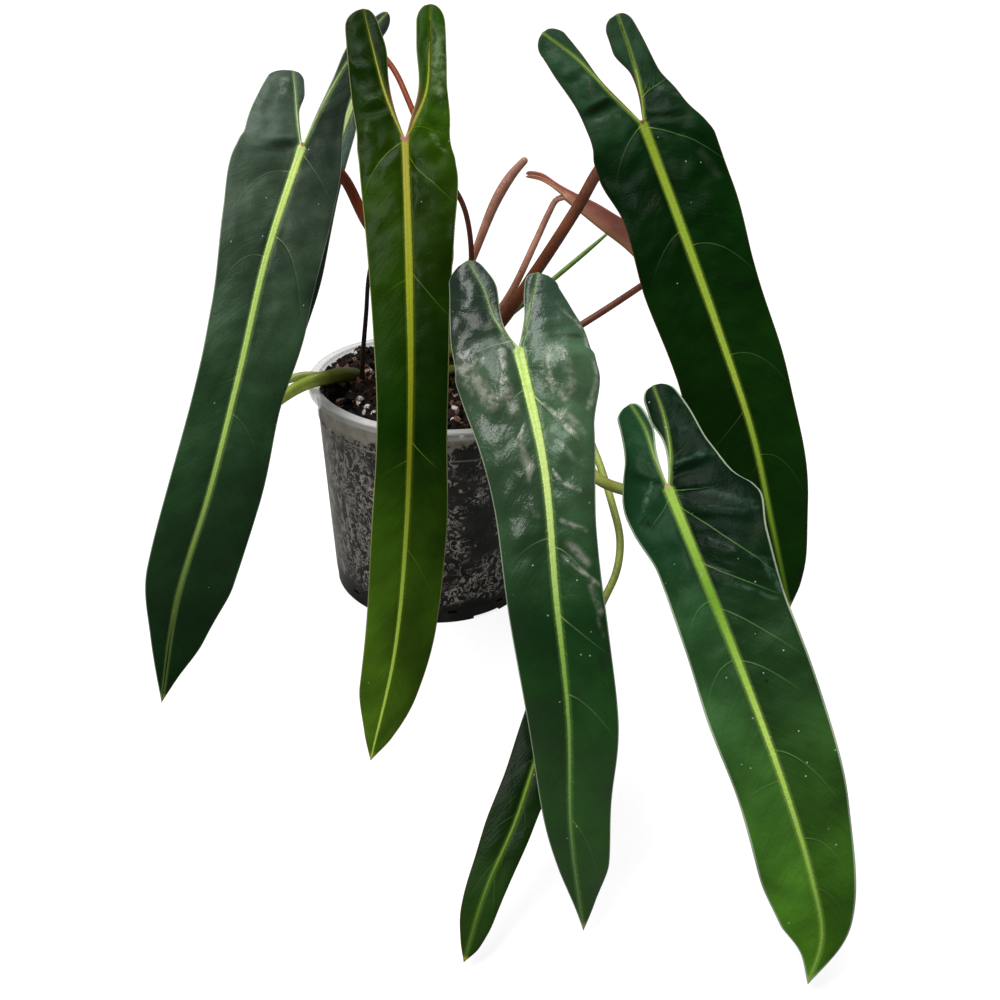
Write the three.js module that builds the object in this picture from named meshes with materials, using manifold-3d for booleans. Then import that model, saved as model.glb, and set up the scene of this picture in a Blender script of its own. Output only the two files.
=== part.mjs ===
// Potted philodendron with long arrow-shaped leaves, growing in bark mix in a clear nursery pot.
// Millimetres, +Z up. The origin is the centre of the pot's underside.
// "Left" and "right" of a leaf are as seen by someone who looks at its upper face with its tip down.

import * as THREE from 'three';
import { mergeVertices } from 'three/addons/utils/BufferGeometryUtils.js';
import Module from 'manifold-3d';

const wasm = await Module();
wasm.setup();

// Clearance between pieces that touch on the real plant
const GAP = 0.3;

// Pot
const POT_HEIGHT = 149;
const RIM_RADIUS = 85;
const RIM_DEPTH = 5;
const WALL = 1.5;
const WALL_TOP_RADIUS = 80;
const WALL_FOOT_RADIUS = 69.5;
const FOOT_RADIUS = 68.7;
const FOOT_HEIGHT = 7;
const FOOT_SKIRT = 2.2;
const EDGE = 0.8;
const PAD_RADIUS = 14;
const BEAD_Z = 127;
const BEAD = 0.9;
const POT_SIDES = 36;
const DRAIN = { count: 8, width: 9, circle: 46 };
const SLOT = { count: 12, width: 6, height: 2, z: 8.8 };
const FOOT_NOTCH = { count: 6, width: 21, height: 2, depth: 12, turn: 0.12 };

// Bark mix
const MIX_EDGE_Z = 140;
const MIX_EDGE_LOW = 4;
const MIX_MOUND = 11;
const MIX_BACK_RISE = 0.035;
const MIX_RINGS = [1, 0.86, 0.68, 0.46, 0.22];
const MIX_SEED = 7;
const CHIPS = { count: 50, reach: 66, clear: 17, tilt: 1.1, lift: 0.8, size: [11, 6.5, 5] };
const PERLITE = { count: 22, reach: 68, clear: 15, tilt: 1.1, lift: 0.8, radius: 2.2 };

// Leaf blades
const BLADE = 0.9;
const BLADE_TURN = 14;
const RIB_WIDTH = 3.2;
const RIB_DEPTH = 2.2;
const RIB_TAPER = 0.85;
const LOBE_RIB_DEPTH = 1.2;
const LOBE_RIB_TAPER = 0.7;
const LOBE_ROUND = 0.86;
const BLADE_ROWS = [0, 0.06, 0.13, 0.21, 0.3, 0.4, 0.5, 0.6, 0.69, 0.77, 0.84, 0.9, 0.95, 0.985];
const LOBE_ROWS = [0.97, 0.88, 0.72, 0.5, 0.3, 0.13];
const BLADE_STATIONS = [0, 0.06, 0.15, 0.3, 0.45, 0.6, 0.75, 0.87, 0.95, 1];
const LOBE_STATIONS = [0, 0.2, 0.45, 0.7, 0.88];
const OUTER_COLUMNS = [
  () => 0,
  (width) => Math.min(RIB_WIDTH, width * 0.3),
  (width) => width * 0.55,
  (width) => width,
];
const INNER_COLUMNS = [() => 0, (width) => width * 0.5, (width) => width];
const FULL_WAVE_WIDTH = 20;

// Every leaf: its midrib from the petiole's joint to the tip, the half-widths of its blade at
// BLADE_STATIONS along that midrib, and two basal lobes, each with its own rib and its outer and inner
// half-widths at LOBE_STATIONS. facing is where the upper face looks, fold how steeply the halves rise
// from the midrib, arch how far they fall again to the margin, and wave the height, length and phases
// of the margin's waves. A small leaf has half as many rows.
const LEAVES = {
  leaf_a: {
    midrib: [
      [-77, -39, 300], [-90, -83, 250], [-100, -119, 195], [-114, -146, 135], [-133, -163, 73],
      [-145, -174, 8],
    ],
    left: [32, 34, 29, 22, 21, 22, 20, 11, 4.5, 0],
    right: [24, 27, 29, 30, 26, 28, 28, 19, 7, 0],
    lobes: {
      left: {
        rib: [[-81, -28, 312], [-84, -17, 325], [-87, -7, 336]],
        outer: [32, 30, 26, 20, 15], inner: [0, 0.8, 1.5, 5.5, 6],
      },
      right: {
        rib: [[-66, -17, 324], [-52, 4, 348], [-36, 22, 367]],
        outer: [24, 17, 11, 9, 7], inner: [0, 0.8, 2, 5, 4],
      },
    },
    facing: [0.32, -0.8, 0.5], fold: 0.22, arch: 0.24, wave: [1.6, 62, 0.5, 2.2],
  },
  leaf_b: {
    midrib: [
      [-15, -76, 314], [-8, -120, 261], [-3, -156, 203], [-2, -182, 139], [-6, -199, 73],
      [-18, -210, 6],
    ],
    left: [25, 24, 22, 19, 17, 18, 17, 15, 7, 0],
    right: [25, 27, 24, 20, 19, 21, 20, 16, 8.5, 0],
    lobes: {
      left: {
        rib: [[-27, -60, 333], [-36, -43, 354], [-43, -28, 372]],
        outer: [25, 21, 17, 14, 12], inner: [0, 1.5, 4, 7, 6],
      },
      right: {
        rib: [[-6, -59, 335], [-6, -41, 357], [-7, -25, 376]],
        outer: [25, 18, 10, 9, 8], inner: [0, 3, 5, 7, 7.5],
      },
    },
    facing: [0.1, -0.86, 0.5], fold: 0.2, arch: 0.22, wave: [1.2, 70, 1.4, 4.1],
  },
  leaf_c: {
    midrib: [
      [111, -54, 325], [135, -81, 277], [160, -99, 226], [185, -109, 172], [205, -114, 116],
      [225, -116, 60],
    ],
    left: [31, 32, 28, 31, 30, 33, 30, 22, 11, 0],
    right: [28, 34, 34, 30, 29, 27, 24, 17, 9, 0],
    lobes: {
      left: {
        rib: [[92, -44, 339], [73, -34, 354], [54, -26, 365]],
        outer: [31, 25, 18, 15, 11], inner: [0, 0.8, 1.2, 4, 7],
      },
      right: {
        rib: [[108, -42, 343], [101, -30, 361], [94, -20, 376]],
        outer: [28, 22, 12, 9, 7], inner: [0, 1, 3, 9, 9],
      },
    },
    facing: [-0.12, -0.86, 0.5], fold: 0.24, arch: 0.28, wave: [1.8, 66, 2.6, 0.8],
  },
  leaf_d: {
    midrib: [
      [50, -204, 250], [64, -240, 210], [72, -270, 164], [81, -292, 113], [86, -306, 60], [96, -315, 6],
    ],
    left: [31, 30, 27, 23, 21, 18, 13, 7.5, 2.5, 0],
    right: [30, 33, 25, 20, 21, 22, 19, 16, 7, 0],
    lobes: {
      left: {
        rib: [[39, -193, 259], [32, -182, 271], [24, -173, 280]],
        outer: [31, 27, 21, 17, 13], inner: [0, 1, 4, 6, 5],
      },
      right: {
        rib: [[53, -195, 259], [55, -185, 269], [57, -178, 278]],
        outer: [30, 27, 22, 16, 11], inner: [0, 1, 2, 4, 5],
      },
    },
    facing: [-0.02, -0.84, 0.54], fold: 0.26, arch: 0.34, wave: [1.6, 58, 3.3, 1.2],
  },
  leaf_e: {
    midrib: [
      [124, -214, 189], [141, -251, 161], [159, -282, 129], [177, -308, 93], [191, -324, 59],
      [199, -332, 31], [196, -338, 7],
    ],
    left: [21, 21, 18, 20, 22, 21, 22, 18, 6, 0],
    right: [34, 39, 34, 30, 29, 26, 20, 13, 4.5, 0],
    lobes: {
      left: {
        rib: [[118, -202, 198], [113, -189, 208], [106, -179, 216]],
        outer: [21, 16, 12, 11, 10], inner: [0, 0.8, 2, 4, 4],
      },
      right: {
        rib: [[125, -199, 201], [122, -184, 213], [117, -171, 223]],
        outer: [34, 26, 17, 13, 10], inner: [0, 1, 3, 7, 7],
      },
    },
    facing: [-0.22, -0.76, 0.6], fold: 0.2, arch: 0.26, wave: [2.4, 52, 0.2, 3.5],
  },
  leaf_f: {
    midrib: [
      [-58, 50, 320], [-67, 20, 289], [-75, -9, 256], [-82, -36, 220], [-92, -58, 183],
      [-104, -77, 144],
    ],
    left: [8, 9, 11, 15, 18, 21, 21, 17, 9, 0],
    right: [4, 5, 8, 9, 11, 12, 11, 9, 6, 0],
    lobes: {
      left: {
        rib: [[-59, 58, 328], [-60, 65, 336], [-61, 71, 343]],
        outer: [8, 6, 5, 5, 4], inner: [0, 1, 2.5, 2.5, 2.5],
      },
      right: {
        rib: [[-54, 59, 329], [-52, 68, 339], [-52, 75, 347]],
        outer: [4, 4, 5, 6, 5], inner: [0, 1, 2, 2.5, 2.5],
      },
    },
    small: true, facing: [0.15, -0.8, 0.55], fold: 0.25, arch: 0.25, wave: [1, 55, 0.9, 2.8],
  },
  leaf_g: {
    midrib: [[88, -213, 98], [80, -241, 84], [70, -268, 68], [61, -293, 50], [49, -316, 30], [41, -336, 6]],
    left: [14, 15, 14, 13, 12, 13, 10, 8, 4, 0],
    right: [19, 19, 19, 16, 11, 9, 9, 8, 5, 0],
    lobes: {
      left: {
        rib: [[84, -203, 103], [80, -193, 108], [76, -184, 112]],
        outer: [14, 14, 13, 11, 9], inner: [0, 1.5, 4, 4, 4],
      },
      right: {
        rib: [[91, -203, 103], [93, -192, 109], [94, -184, 114]],
        outer: [19, 13, 9, 7, 5], inner: [0, 1, 3, 4, 4],
      },
    },
    small: true, facing: [-0.06, -0.8, 0.6], fold: 0.22, arch: 0.24, wave: [1, 48, 2, 0.4],
  },
  leaf_h: {
    midrib: [[76, 18, 268], [98, 13, 253], [120, 10, 238], [142, 2, 216], [159, -8, 190], [170, -22, 162]],
    left: [4, 7, 10, 13, 14, 13, 11, 8, 4, 0],
    right: [4, 7, 10, 13, 14, 13, 11, 8, 4, 0],
    lobes: {
      left: {
        rib: [[69, 23, 273], [60, 29, 277], [50, 33, 278]],
        outer: [4, 2.6, 2.2, 2.2, 2], inner: [0, 0.5, 0.8, 0.8, 0.8],
      },
      right: {
        rib: [[69, 19, 272], [60, 23, 275], [50, 26, 276]],
        outer: [4, 2.6, 2.2, 2.2, 2], inner: [0, 0.5, 0.8, 0.8, 0.8],
      },
    },
    small: true, facing: [0.5, 0.45, 0.74], fold: 0.9, arch: 0.2, wave: [0.4, 50, 0, 1],
  },
  leaf_i: {
    midrib: [
      [165, 29, 236], [181, 9, 208], [196, -7, 177], [210, -20, 144], [222, -30, 109], [234, -37, 73],
    ],
    left: [18, 19, 20, 21, 20, 18, 15, 11, 5, 0],
    right: [15, 16, 16, 17, 17, 15, 14, 12, 6, 0],
    lobes: {
      left: {
        rib: [[160, 36, 246], [154, 44, 256], [150, 50, 265]],
        outer: [18, 16, 14, 11, 9], inner: [0, 2, 5, 6, 5],
      },
      right: {
        rib: [[168, 36, 247], [169, 44, 257], [169, 50, 266]],
        outer: [15, 12, 10, 8, 7], inner: [0, 1.5, 3, 5, 5],
      },
    },
    small: true, facing: [-0.15, -0.82, 0.55], fold: 0.24, arch: 0.26, wave: [1.2, 56, 1.1, 2.9],
  },
};

// Petioles, from the stem's axis to the joint under their blade, with radii from foot to joint
const PETIOLES = {
  petiole_a: {
    path: [
      [0, 3, 180], [-12, -1, 195], [-27, -8, 227], [-45, -9, 252], [-58, -9, 277], [-71, -17, 293],
      [-77, -39, 300],
    ],
    radii: [4.2, 3.6, 3.3, 3],
  },
  petiole_b: {
    path: [
      [0, 2, 170], [10, -3, 186], [18, -1, 211], [19, 1, 231], [16, -1, 254], [11, -9, 270],
      [-2, -29, 292], [-15, -76, 314],
    ],
    radii: [2.4, 1.7, 1.6, 2.2],
  },
  petiole_c: {
    path: [
      [0, 2, 161], [15, -1, 170], [34, -9, 186], [59, -14, 228], [82, -17, 271], [92, -20, 293],
      [105, -33, 314], [111, -54, 325],
    ],
    radii: [4.2, 3.7, 3.5, 3],
  },
  petiole_d: {
    path: [
      [0, 2, 184], [2, -14, 192], [25, -60, 208], [38, -115, 227], [46, -160, 239], [50, -198, 247],
      [50, -204, 250],
    ],
    radii: [4, 3.4, 3, 2.8],
  },
  petiole_e: {
    path: [
      [0, 2, 167], [5, -13, 173], [38, -31, 187], [68, -73, 178], [87, -126, 163], [96, -146, 158],
      [110, -175, 166], [119, -199, 178], [124, -214, 189],
    ],
    radii: [4.2, 3.4, 3.1, 2.8],
  },
  petiole_f: {
    path: [
      [0, 3, 184], [-1, 14, 203], [4, 27, 224], [-6, 42, 266], [-27, 64, 311], [-40, 76, 331],
      [-50, 78, 339], [-57, 69, 335], [-58, 50, 320],
    ],
    radii: [3, 2.2, 1.9, 1.9],
  },
  petiole_g: {
    path: [
      [0, 2, 155], [6, -12, 160], [25, -21, 169], [53, -28, 177], [83, -75, 171], [98, -118, 157],
      [107, -146, 141], [111, -164, 130], [109, -180, 120], [103, -192, 111], [96, -204, 102],
      [88, -213, 98],
    ],
    radii: [3, 2.3, 2.1, 2],
  },
  petiole_h: {
    path: [
      [0, 3, 168], [14, 6, 175], [27, 6, 182], [43, 10, 203], [59, 19, 239], [66, 23, 256],
      [70, 24, 264], [76, 18, 268],
    ],
    radii: [3.2, 2.5, 2.2, 1.8],
  },
  petiole_i: {
    path: [
      [0, 2, 157], [15, 0, 158], [53, -4, 166], [91, 3, 189], [128, 18, 211], [156, 35, 227],
      [165, 29, 236],
    ],
    radii: [3, 2.4, 2.2, 2],
  },
};

// New leaves that are still rolled up
const SPEARS = {
  spear_red: {
    path: [[0, 3, 182], [9, 7, 198], [20, 17, 228], [32, 24, 261], [41, 27, 277], [50, 28, 288]],
    radii: [2.4, 2.2, 2.4, 2.9, 3.3, 2.2],
  },
  spear_green: {
    path: [[0, 3, 155], [14, 7, 163], [42, 10, 189], [72, 24, 213], [103, 43, 237], [115, 51, 247]],
    radii: [2.4, 1.9, 1.7, 1.6, 0.5],
  },
};

// Main stem with the roots at its foot, and the stalks that rise out of the mix by themselves
const STEM = {
  path: [[-4, 4, 86], [-2, 4, 120], [0, 3, 155], [0, 3, 190], [1, 4, 199]],
  radii: [6, 8, 9, 9, 9, 10, 8.8, 9.8, 8.6, 9.4, 7.8, 4],
};
const ROOTS = { count: 5, x: -3, y: 4, z: 98, reach: 52, drop: 62, curl: 0.5, radii: [3.2, 2.6, 2, 1.2] };
const STALK_SIDES = 6;
const STALK_STEP = 16;
const STEM_SIDES = 8;
const STEM_STEP = 10;
const ROOT_SIDES = 5;
const ROOT_STEP = 20;
const STALKS = {
  side_shoot: {
    path: [
      [-47, 14, 128], [-53, 1, 146], [-60, -13, 153], [-67, -25, 156], [-75, -31, 156],
      [-86, -32, 151], [-97, -32, 143], [-109, -30, 131], [-117, -28, 118],
    ],
    radii: [4, 4.8, 5, 5, 4.4, 4, 3.6, 2.8, 1],
  },
  aerial_root: {
    path: [
      [-50, 26, 130], [-56, 18, 146], [-66, 2, 155], [-75, -7, 156], [-85, -12, 155], [-96, -15, 153],
      [-109, -14, 148], [-117, -12, 141],
    ],
    radii: [2.8, 2.8, 2.8, 2.8, 2.6, 1],
  },
  old_petiole: {
    path: [
      [-50, -16, 124], [-49, -13, 143], [-48, -10, 170], [-46, -8, 196], [-45, -5, 215], [-42, -2, 233],
    ],
    radii: [1.9, 1.6, 1.4, 1.2],
  },
};

// Colour and roughness of each kind of surface
const COLOURS = {
  pot: [0xa9aca9, 0.35],
  soil: [0x2b2019, 0.95],
  stem: [0x6f7a3a, 0.6],
  petiole_red: [0x6b3a2c, 0.5],
  petiole_green: [0x86953a, 0.5],
  blade: [0x1f3d27, 0.35],
  blade_bright: [0x3d5a1c, 0.35],
  blade_young: [0x7a4636, 0.45],
};
const BRIGHT_LEAF = 'leaf_b';
const YOUNG_LEAF = 'leaf_h';
const GREEN_STALKS = ['petiole_e', 'petiole_g', 'side_shoot', 'aerial_root', 'spear_green'];

// Seeded draw between 0 and 1
function draws(seed) {
  let state = seed;
  return () => {
    state = (state * 1664525 + 1013904223) % 4294967296;
    return state / 4294967296;
  };
}

// Merges a closed geometry's doubles, drops its flat triangles and turns it the right way out
function closed(geometry) {
  const bare = new THREE.BufferGeometry();
  bare.setAttribute('position', geometry.getAttribute('position').clone());
  const count = bare.attributes.position.count;
  bare.setIndex(geometry.index ? Array.from(geometry.index.array) : [...Array(count).keys()]);
  const merged = mergeVertices(bare, 1e-3);
  const corners = [0, 1, 2].map(() => new THREE.Vector3());
  const kept = [];
  let volume = 0;
  for (let i = 0; i < merged.index.count; i += 3) {
    const ids = [0, 1, 2].map((k) => merged.index.getX(i + k));
    if (new Set(ids).size < 3) continue;
    kept.push(...ids);
    ids.forEach((id, k) => corners[k].fromBufferAttribute(merged.attributes.position, id));
    volume += corners[0].dot(corners[1].clone().cross(corners[2]));
  }
  if (volume < 0) kept.reverse();
  merged.setIndex(kept);
  return merged;
}

function solid(geometry) {
  const merged = closed(geometry);
  return new wasm.Manifold(new wasm.Mesh({
    numProp: 3,
    vertProperties: new Float32Array(merged.attributes.position.array),
    triVerts: new Uint32Array(merged.index.array),
  }));
}

// The largest body of a solid as a geometry: scraps that a cut leaves are dropped
function geometryOf(manifold) {
  const bodies = manifold.decompose().sort((a, b) => b.volume() - a.volume());
  const mesh = bodies[0].getMesh();
  const geometry = new THREE.BufferGeometry();
  geometry.setAttribute('position', new THREE.BufferAttribute(new Float32Array(mesh.vertProperties), 3));
  geometry.setIndex(Array.from(mesh.triVerts));
  return geometry;
}

const vector = (point) => new THREE.Vector3(...point);

// Smooth value at x through values given at rising stations, flat beyond their ends
function through(stations, values, x) {
  const last = stations.length - 1;
  if (x <= stations[0]) return values[0];
  if (x >= stations[last]) return values[last];
  const i = stations.findIndex((station) => station > x) - 1;
  const slope = (k) => (values[k + 1] - values[k]) / (stations[k + 1] - stations[k]);
  const tangent = (k) => {
    if (k === 0) return slope(0);
    if (k === last) return slope(last - 1);
    const [before, after] = [slope(k - 1), slope(k)];
    return before * after <= 0 ? 0 : (2 * before * after) / (before + after);
  };
  const span = stations[i + 1] - stations[i];
  const t = (x - stations[i]) / span;
  const [m0, m1] = [tangent(i) * span, tangent(i + 1) * span];
  return (2 * t ** 3 - 3 * t ** 2 + 1) * values[i] + (t ** 3 - 2 * t ** 2 + t) * m0
    + (3 * t ** 2 - 2 * t ** 3) * values[i + 1] + (t ** 3 - t ** 2) * m1;
}

// Round bar along a smooth path, with radii spaced evenly from its start to its end
function bar({ path, radii }, sides, stepLength, grown = 0) {
  const curve = new THREE.CatmullRomCurve3(path.map(vector), false, 'centripetal');
  const steps = Math.max(4, Math.round(curve.getLength() / stepLength));
  const frames = curve.computeFrenetFrames(steps);
  const evenly = radii.map((_, k) => k / (radii.length - 1));
  const positions = [];
  for (let i = 0; i <= steps; i++) {
    const along = grown * ((i === steps) - (i === 0));
    const centre = curve.getPointAt(i / steps).addScaledVector(curve.getTangentAt(i / steps), along);
    const radius = through(evenly, radii, i / steps) + grown;
    for (let k = 0; k < sides; k++) {
      const angle = (2 * Math.PI * k) / sides;
      const point = centre.clone()
        .addScaledVector(frames.normals[i], radius * Math.cos(angle))
        .addScaledVector(frames.binormals[i], radius * Math.sin(angle));
      positions.push(point.x, point.y, point.z);
    }
  }
  for (const [t, along] of [[0, -grown], [1, grown]]) {
    const end = curve.getPointAt(t).addScaledVector(curve.getTangentAt(t), along);
    positions.push(end.x, end.y, end.z);
  }
  const triangles = [];
  const first = (steps + 1) * sides;
  for (let k = 0; k < sides; k++) {
    const next = (k + 1) % sides;
    for (let i = 0; i < steps; i++) {
      const [low, high] = [i * sides, (i + 1) * sides];
      triangles.push(low + k, low + next, high + next, low + k, high + next, high + k);
    }
    triangles.push(first, next, k, first + 1, steps * sides + k, steps * sides + next);
  }
  const geometry = new THREE.BufferGeometry();
  geometry.setAttribute('position', new THREE.Float32BufferAttribute(positions, 3));
  geometry.setIndex(triangles);
  return geometry;
}

// Turned piece about +Z from its profile of [radius, z] points
function turned(profile, sides) {
  const points = profile.map(([radius, z]) => new THREE.Vector2(radius, z));
  return new THREE.LatheGeometry(points, sides).rotateX(Math.PI / 2);
}

// Middle surface of a leaf: points, depth of the rib under each, and triangles that face its upper side
function sheet(leaf) {
  const joint = vector(leaf.midrib[0]);
  const midrib = new THREE.CatmullRomCurve3(leaf.midrib.map(vector), false, 'centripetal');
  const length = midrib.getLength();
  const facing = vector(leaf.facing).normalize();
  const [waveHeight, waveLength, ...wavePhases] = leaf.wave;
  const rowsOf = (rows) => rows.filter((_, k) => !leaf.small || k % 2 === 0);
  const points = [];
  const ribs = [];
  const ids = new Map();
  const triangles = [];
  const vertex = (key, point, rib) => {
    if (!ids.has(key)) {
      ids.set(key, points.length);
      points.push(point);
      ribs.push(rib);
    }
    return ids.get(key);
  };
  const strip = (rows, turn) => {
    for (let i = 0; i + 1 < rows.length; i++) {
      for (let j = 0; j + 1 < rows[i].length; j++) {
        const [a, b, c, d] = [rows[i][j], rows[i][j + 1], rows[i + 1][j + 1], rows[i + 1][j]];
        for (const [p, q, r] of [[a, b, c], [a, c, d]]) {
          if (p === q || q === r || r === p) continue;
          triangles.push(turn > 0 ? [p, q, r] : [p, r, q]);
        }
      }
    }
  };
  ['left', 'right'].forEach((side, sideIndex) => {
    const spec = leaf.lobes[side];
    const sign = side === 'left' ? 1 : -1;
    const lobe = new THREE.CatmullRomCurve3([joint, ...spec.rib.map(vector)], false, 'centripetal');
    const lobeLength = lobe.getLength();
    // The spine runs along the lobe's rib to the joint at distance 0, then along the midrib
    const spine = (a) => {
      if (a < 0) return lobe.getPointAt(Math.min(1, -a / lobeLength));
      return midrib.getPointAt(Math.min(1, a / length));
    };
    // Point at distance x from the spine in a row of the given width
    const place = (a, across, x, width) => {
      const tangent = spine(a + BLADE_TURN).sub(spine(a - BLADE_TURN)).normalize();
      const normal = facing.clone().addScaledVector(tangent, -facing.dot(tangent)).normalize();
      const share = width > 0 ? x / width : 0;
      const wave = Math.sin((2 * Math.PI * a) / waveLength + wavePhases[sideIndex]);
      const ripple = waveHeight * wave * share * share * Math.min(1, width / FULL_WAVE_WIDTH);
      const lift = width * (leaf.fold * share - leaf.arch * share * share) + ripple;
      return spine(a).addScaledVector(tangent.cross(normal), across * x).addScaledVector(normal, lift);
    };
    const rowIds = (row, across, kind, columns) => columns.map((column, j) => {
      const x = column(row.width);
      const line = j === 0 ? (row.a < 0 ? `${side} spine` : 'midrib') : `${side} ${kind} ${j}`;
      return vertex(`${line} ${row.a}`, place(row.a, across, x, row.width), j === 0 ? row.rib : 0);
    });
    const lobeRow = (widths) => (l) => ({
      a: -l * lobeLength,
      rib: LOBE_RIB_DEPTH * (1 - LOBE_RIB_TAPER * l),
      width: lobeWidth(widths, l),
    });
    const bladeRow = (s) => ({
      a: s * length,
      rib: RIB_DEPTH * (1 - RIB_TAPER * s),
      width: through(BLADE_STATIONS, leaf[side], s),
    });
    const lobeTip = vertex(`${side} lobe tip`, lobe.getPointAt(1), 0);
    const apex = vertex('apex', midrib.getPointAt(1), 0);
    const start = vertex('midrib 0', joint, RIB_DEPTH);
    const outerRows = [...rowsOf(LOBE_ROWS).map(lobeRow(spec.outer)), ...rowsOf(BLADE_ROWS).map(bladeRow)];
    const outer = outerRows.map((row) => rowIds(row, sign, 'outer', OUTER_COLUMNS));
    strip([outer[0].map(() => lobeTip), ...outer, outer[0].map(() => apex)], sign);
    const innerRows = rowsOf(LOBE_ROWS).map(lobeRow(spec.inner));
    const inner = innerRows.map((row) => rowIds(row, -sign, 'inner', INNER_COLUMNS));
    strip([inner[0].map(() => lobeTip), ...inner, inner[0].map(() => start)], -sign);
  });
  return { points, ribs, triangles };
}

// Half-width of a lobe at share l of its rib, with a round end
function lobeWidth(widths, l) {
  const end = Math.max(0, (l - LOBE_ROUND) / (1 - LOBE_ROUND));
  return through(LOBE_STATIONS, widths, l) * Math.sqrt(1 - end * end);
}

// Closed blade round a middle surface, with its ribs standing out below
function blade({ points, ribs, triangles }) {
  const normals = points.map(() => new THREE.Vector3());
  const edges = new Map();
  for (const [p, q, r] of triangles) {
    const face = points[q].clone().sub(points[p]).cross(points[r].clone().sub(points[p]));
    for (const id of [p, q, r]) normals[id].add(face);
    for (const [from, to] of [[p, q], [q, r], [r, p]]) edges.set(`${from} ${to}`, [from, to]);
  }
  const positions = [];
  points.forEach((point, id) => {
    normals[id].normalize();
    for (const offset of [BLADE / 2, -BLADE / 2 - ribs[id]]) {
      const place = point.clone().addScaledVector(normals[id], offset);
      positions.push(place.x, place.y, place.z);
    }
  });
  const faces = [];
  for (const [p, q, r] of triangles) faces.push(2 * p, 2 * q, 2 * r, 2 * p + 1, 2 * r + 1, 2 * q + 1);
  for (const [from, to] of edges.values()) {
    if (edges.has(`${to} ${from}`)) continue;
    faces.push(2 * to, 2 * from, 2 * from + 1, 2 * to, 2 * from + 1, 2 * to + 1);
  }
  const geometry = new THREE.BufferGeometry();
  geometry.setAttribute('position', new THREE.Float32BufferAttribute(positions, 3));
  geometry.setIndex(faces);
  return geometry;
}

// Box in a ring round the axis, at an angle, used to cut slots and notches
function ringBox(angle, radius, depth, width, z0, z1) {
  const box = new THREE.BoxGeometry(depth, width, z1 - z0);
  return box.translate(radius, 0, (z0 + z1) / 2).rotateZ(angle);
}

function buildPot() {
  const inner = (radius) => radius - WALL;
  const floorTop = FOOT_HEIGHT + WALL;
  const skirt = FOOT_RADIUS - FOOT_SKIRT;
  const rimFoot = POT_HEIGHT - RIM_DEPTH;
  const profile = [
    [0, 0], [PAD_RADIUS, 0], [PAD_RADIUS, FOOT_HEIGHT], [skirt, FOOT_HEIGHT], [skirt, 0],
    [FOOT_RADIUS, 0], [FOOT_RADIUS, FOOT_HEIGHT], [WALL_FOOT_RADIUS, FOOT_HEIGHT + EDGE],
    [wallRadius(BEAD_Z - BEAD), BEAD_Z - BEAD], [wallRadius(BEAD_Z) + BEAD, BEAD_Z],
    [wallRadius(BEAD_Z + BEAD), BEAD_Z + BEAD],
    [WALL_TOP_RADIUS, rimFoot], [RIM_RADIUS, rimFoot], [RIM_RADIUS, POT_HEIGHT - EDGE],
    [RIM_RADIUS - EDGE, POT_HEIGHT], [inner(WALL_TOP_RADIUS) + EDGE, POT_HEIGHT],
    [inner(WALL_TOP_RADIUS), POT_HEIGHT - 2 * EDGE],
    [inner(WALL_FOOT_RADIUS), floorTop + EDGE], [inner(WALL_FOOT_RADIUS) - EDGE, floorTop], [0, floorTop],
  ];
  let pot = solid(turned(profile, POT_SIDES));
  for (let k = 0; k < DRAIN.count; k++) {
    const hole = new THREE.CylinderGeometry(DRAIN.width / 2, DRAIN.width / 2, 4 * WALL, 8);
    hole.rotateX(Math.PI / 2).translate(DRAIN.circle, 0, FOOT_HEIGHT);
    pot = pot.subtract(solid(hole.rotateZ((2 * Math.PI * k) / DRAIN.count)));
  }
  for (let k = 0; k < SLOT.count; k++) {
    const angle = (2 * Math.PI * (k + 0.5)) / SLOT.count;
    const [low, high] = [SLOT.z - SLOT.height / 2, SLOT.z + SLOT.height / 2];
    pot = pot.subtract(solid(ringBox(angle, WALL_FOOT_RADIUS, 4 * WALL, SLOT.width, low, high)));
  }
  for (let k = 0; k < FOOT_NOTCH.count; k++) {
    const angle = (2 * Math.PI * k) / FOOT_NOTCH.count + FOOT_NOTCH.turn;
    pot = pot.subtract(solid(ringBox(angle, FOOT_RADIUS, FOOT_NOTCH.depth, FOOT_NOTCH.width, -1, FOOT_NOTCH.height)));
  }
  return pot;
}

// Outer radius of the pot's tapering wall
function wallRadius(z) {
  const t = (z - FOOT_HEIGHT) / (POT_HEIGHT - RIM_DEPTH - FOOT_HEIGHT);
  return WALL_FOOT_RADIUS + (WALL_TOP_RADIUS - WALL_FOOT_RADIUS) * t;
}

// Height of the mix's surface, mounded round the stem
function mixTop(x, y) {
  const edge = wallRadius(MIX_EDGE_Z) - WALL - GAP;
  return MIX_EDGE_Z + MIX_MOUND * (1 - (x * x + y * y) / (edge * edge)) + MIX_BACK_RISE * y;
}

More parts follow.
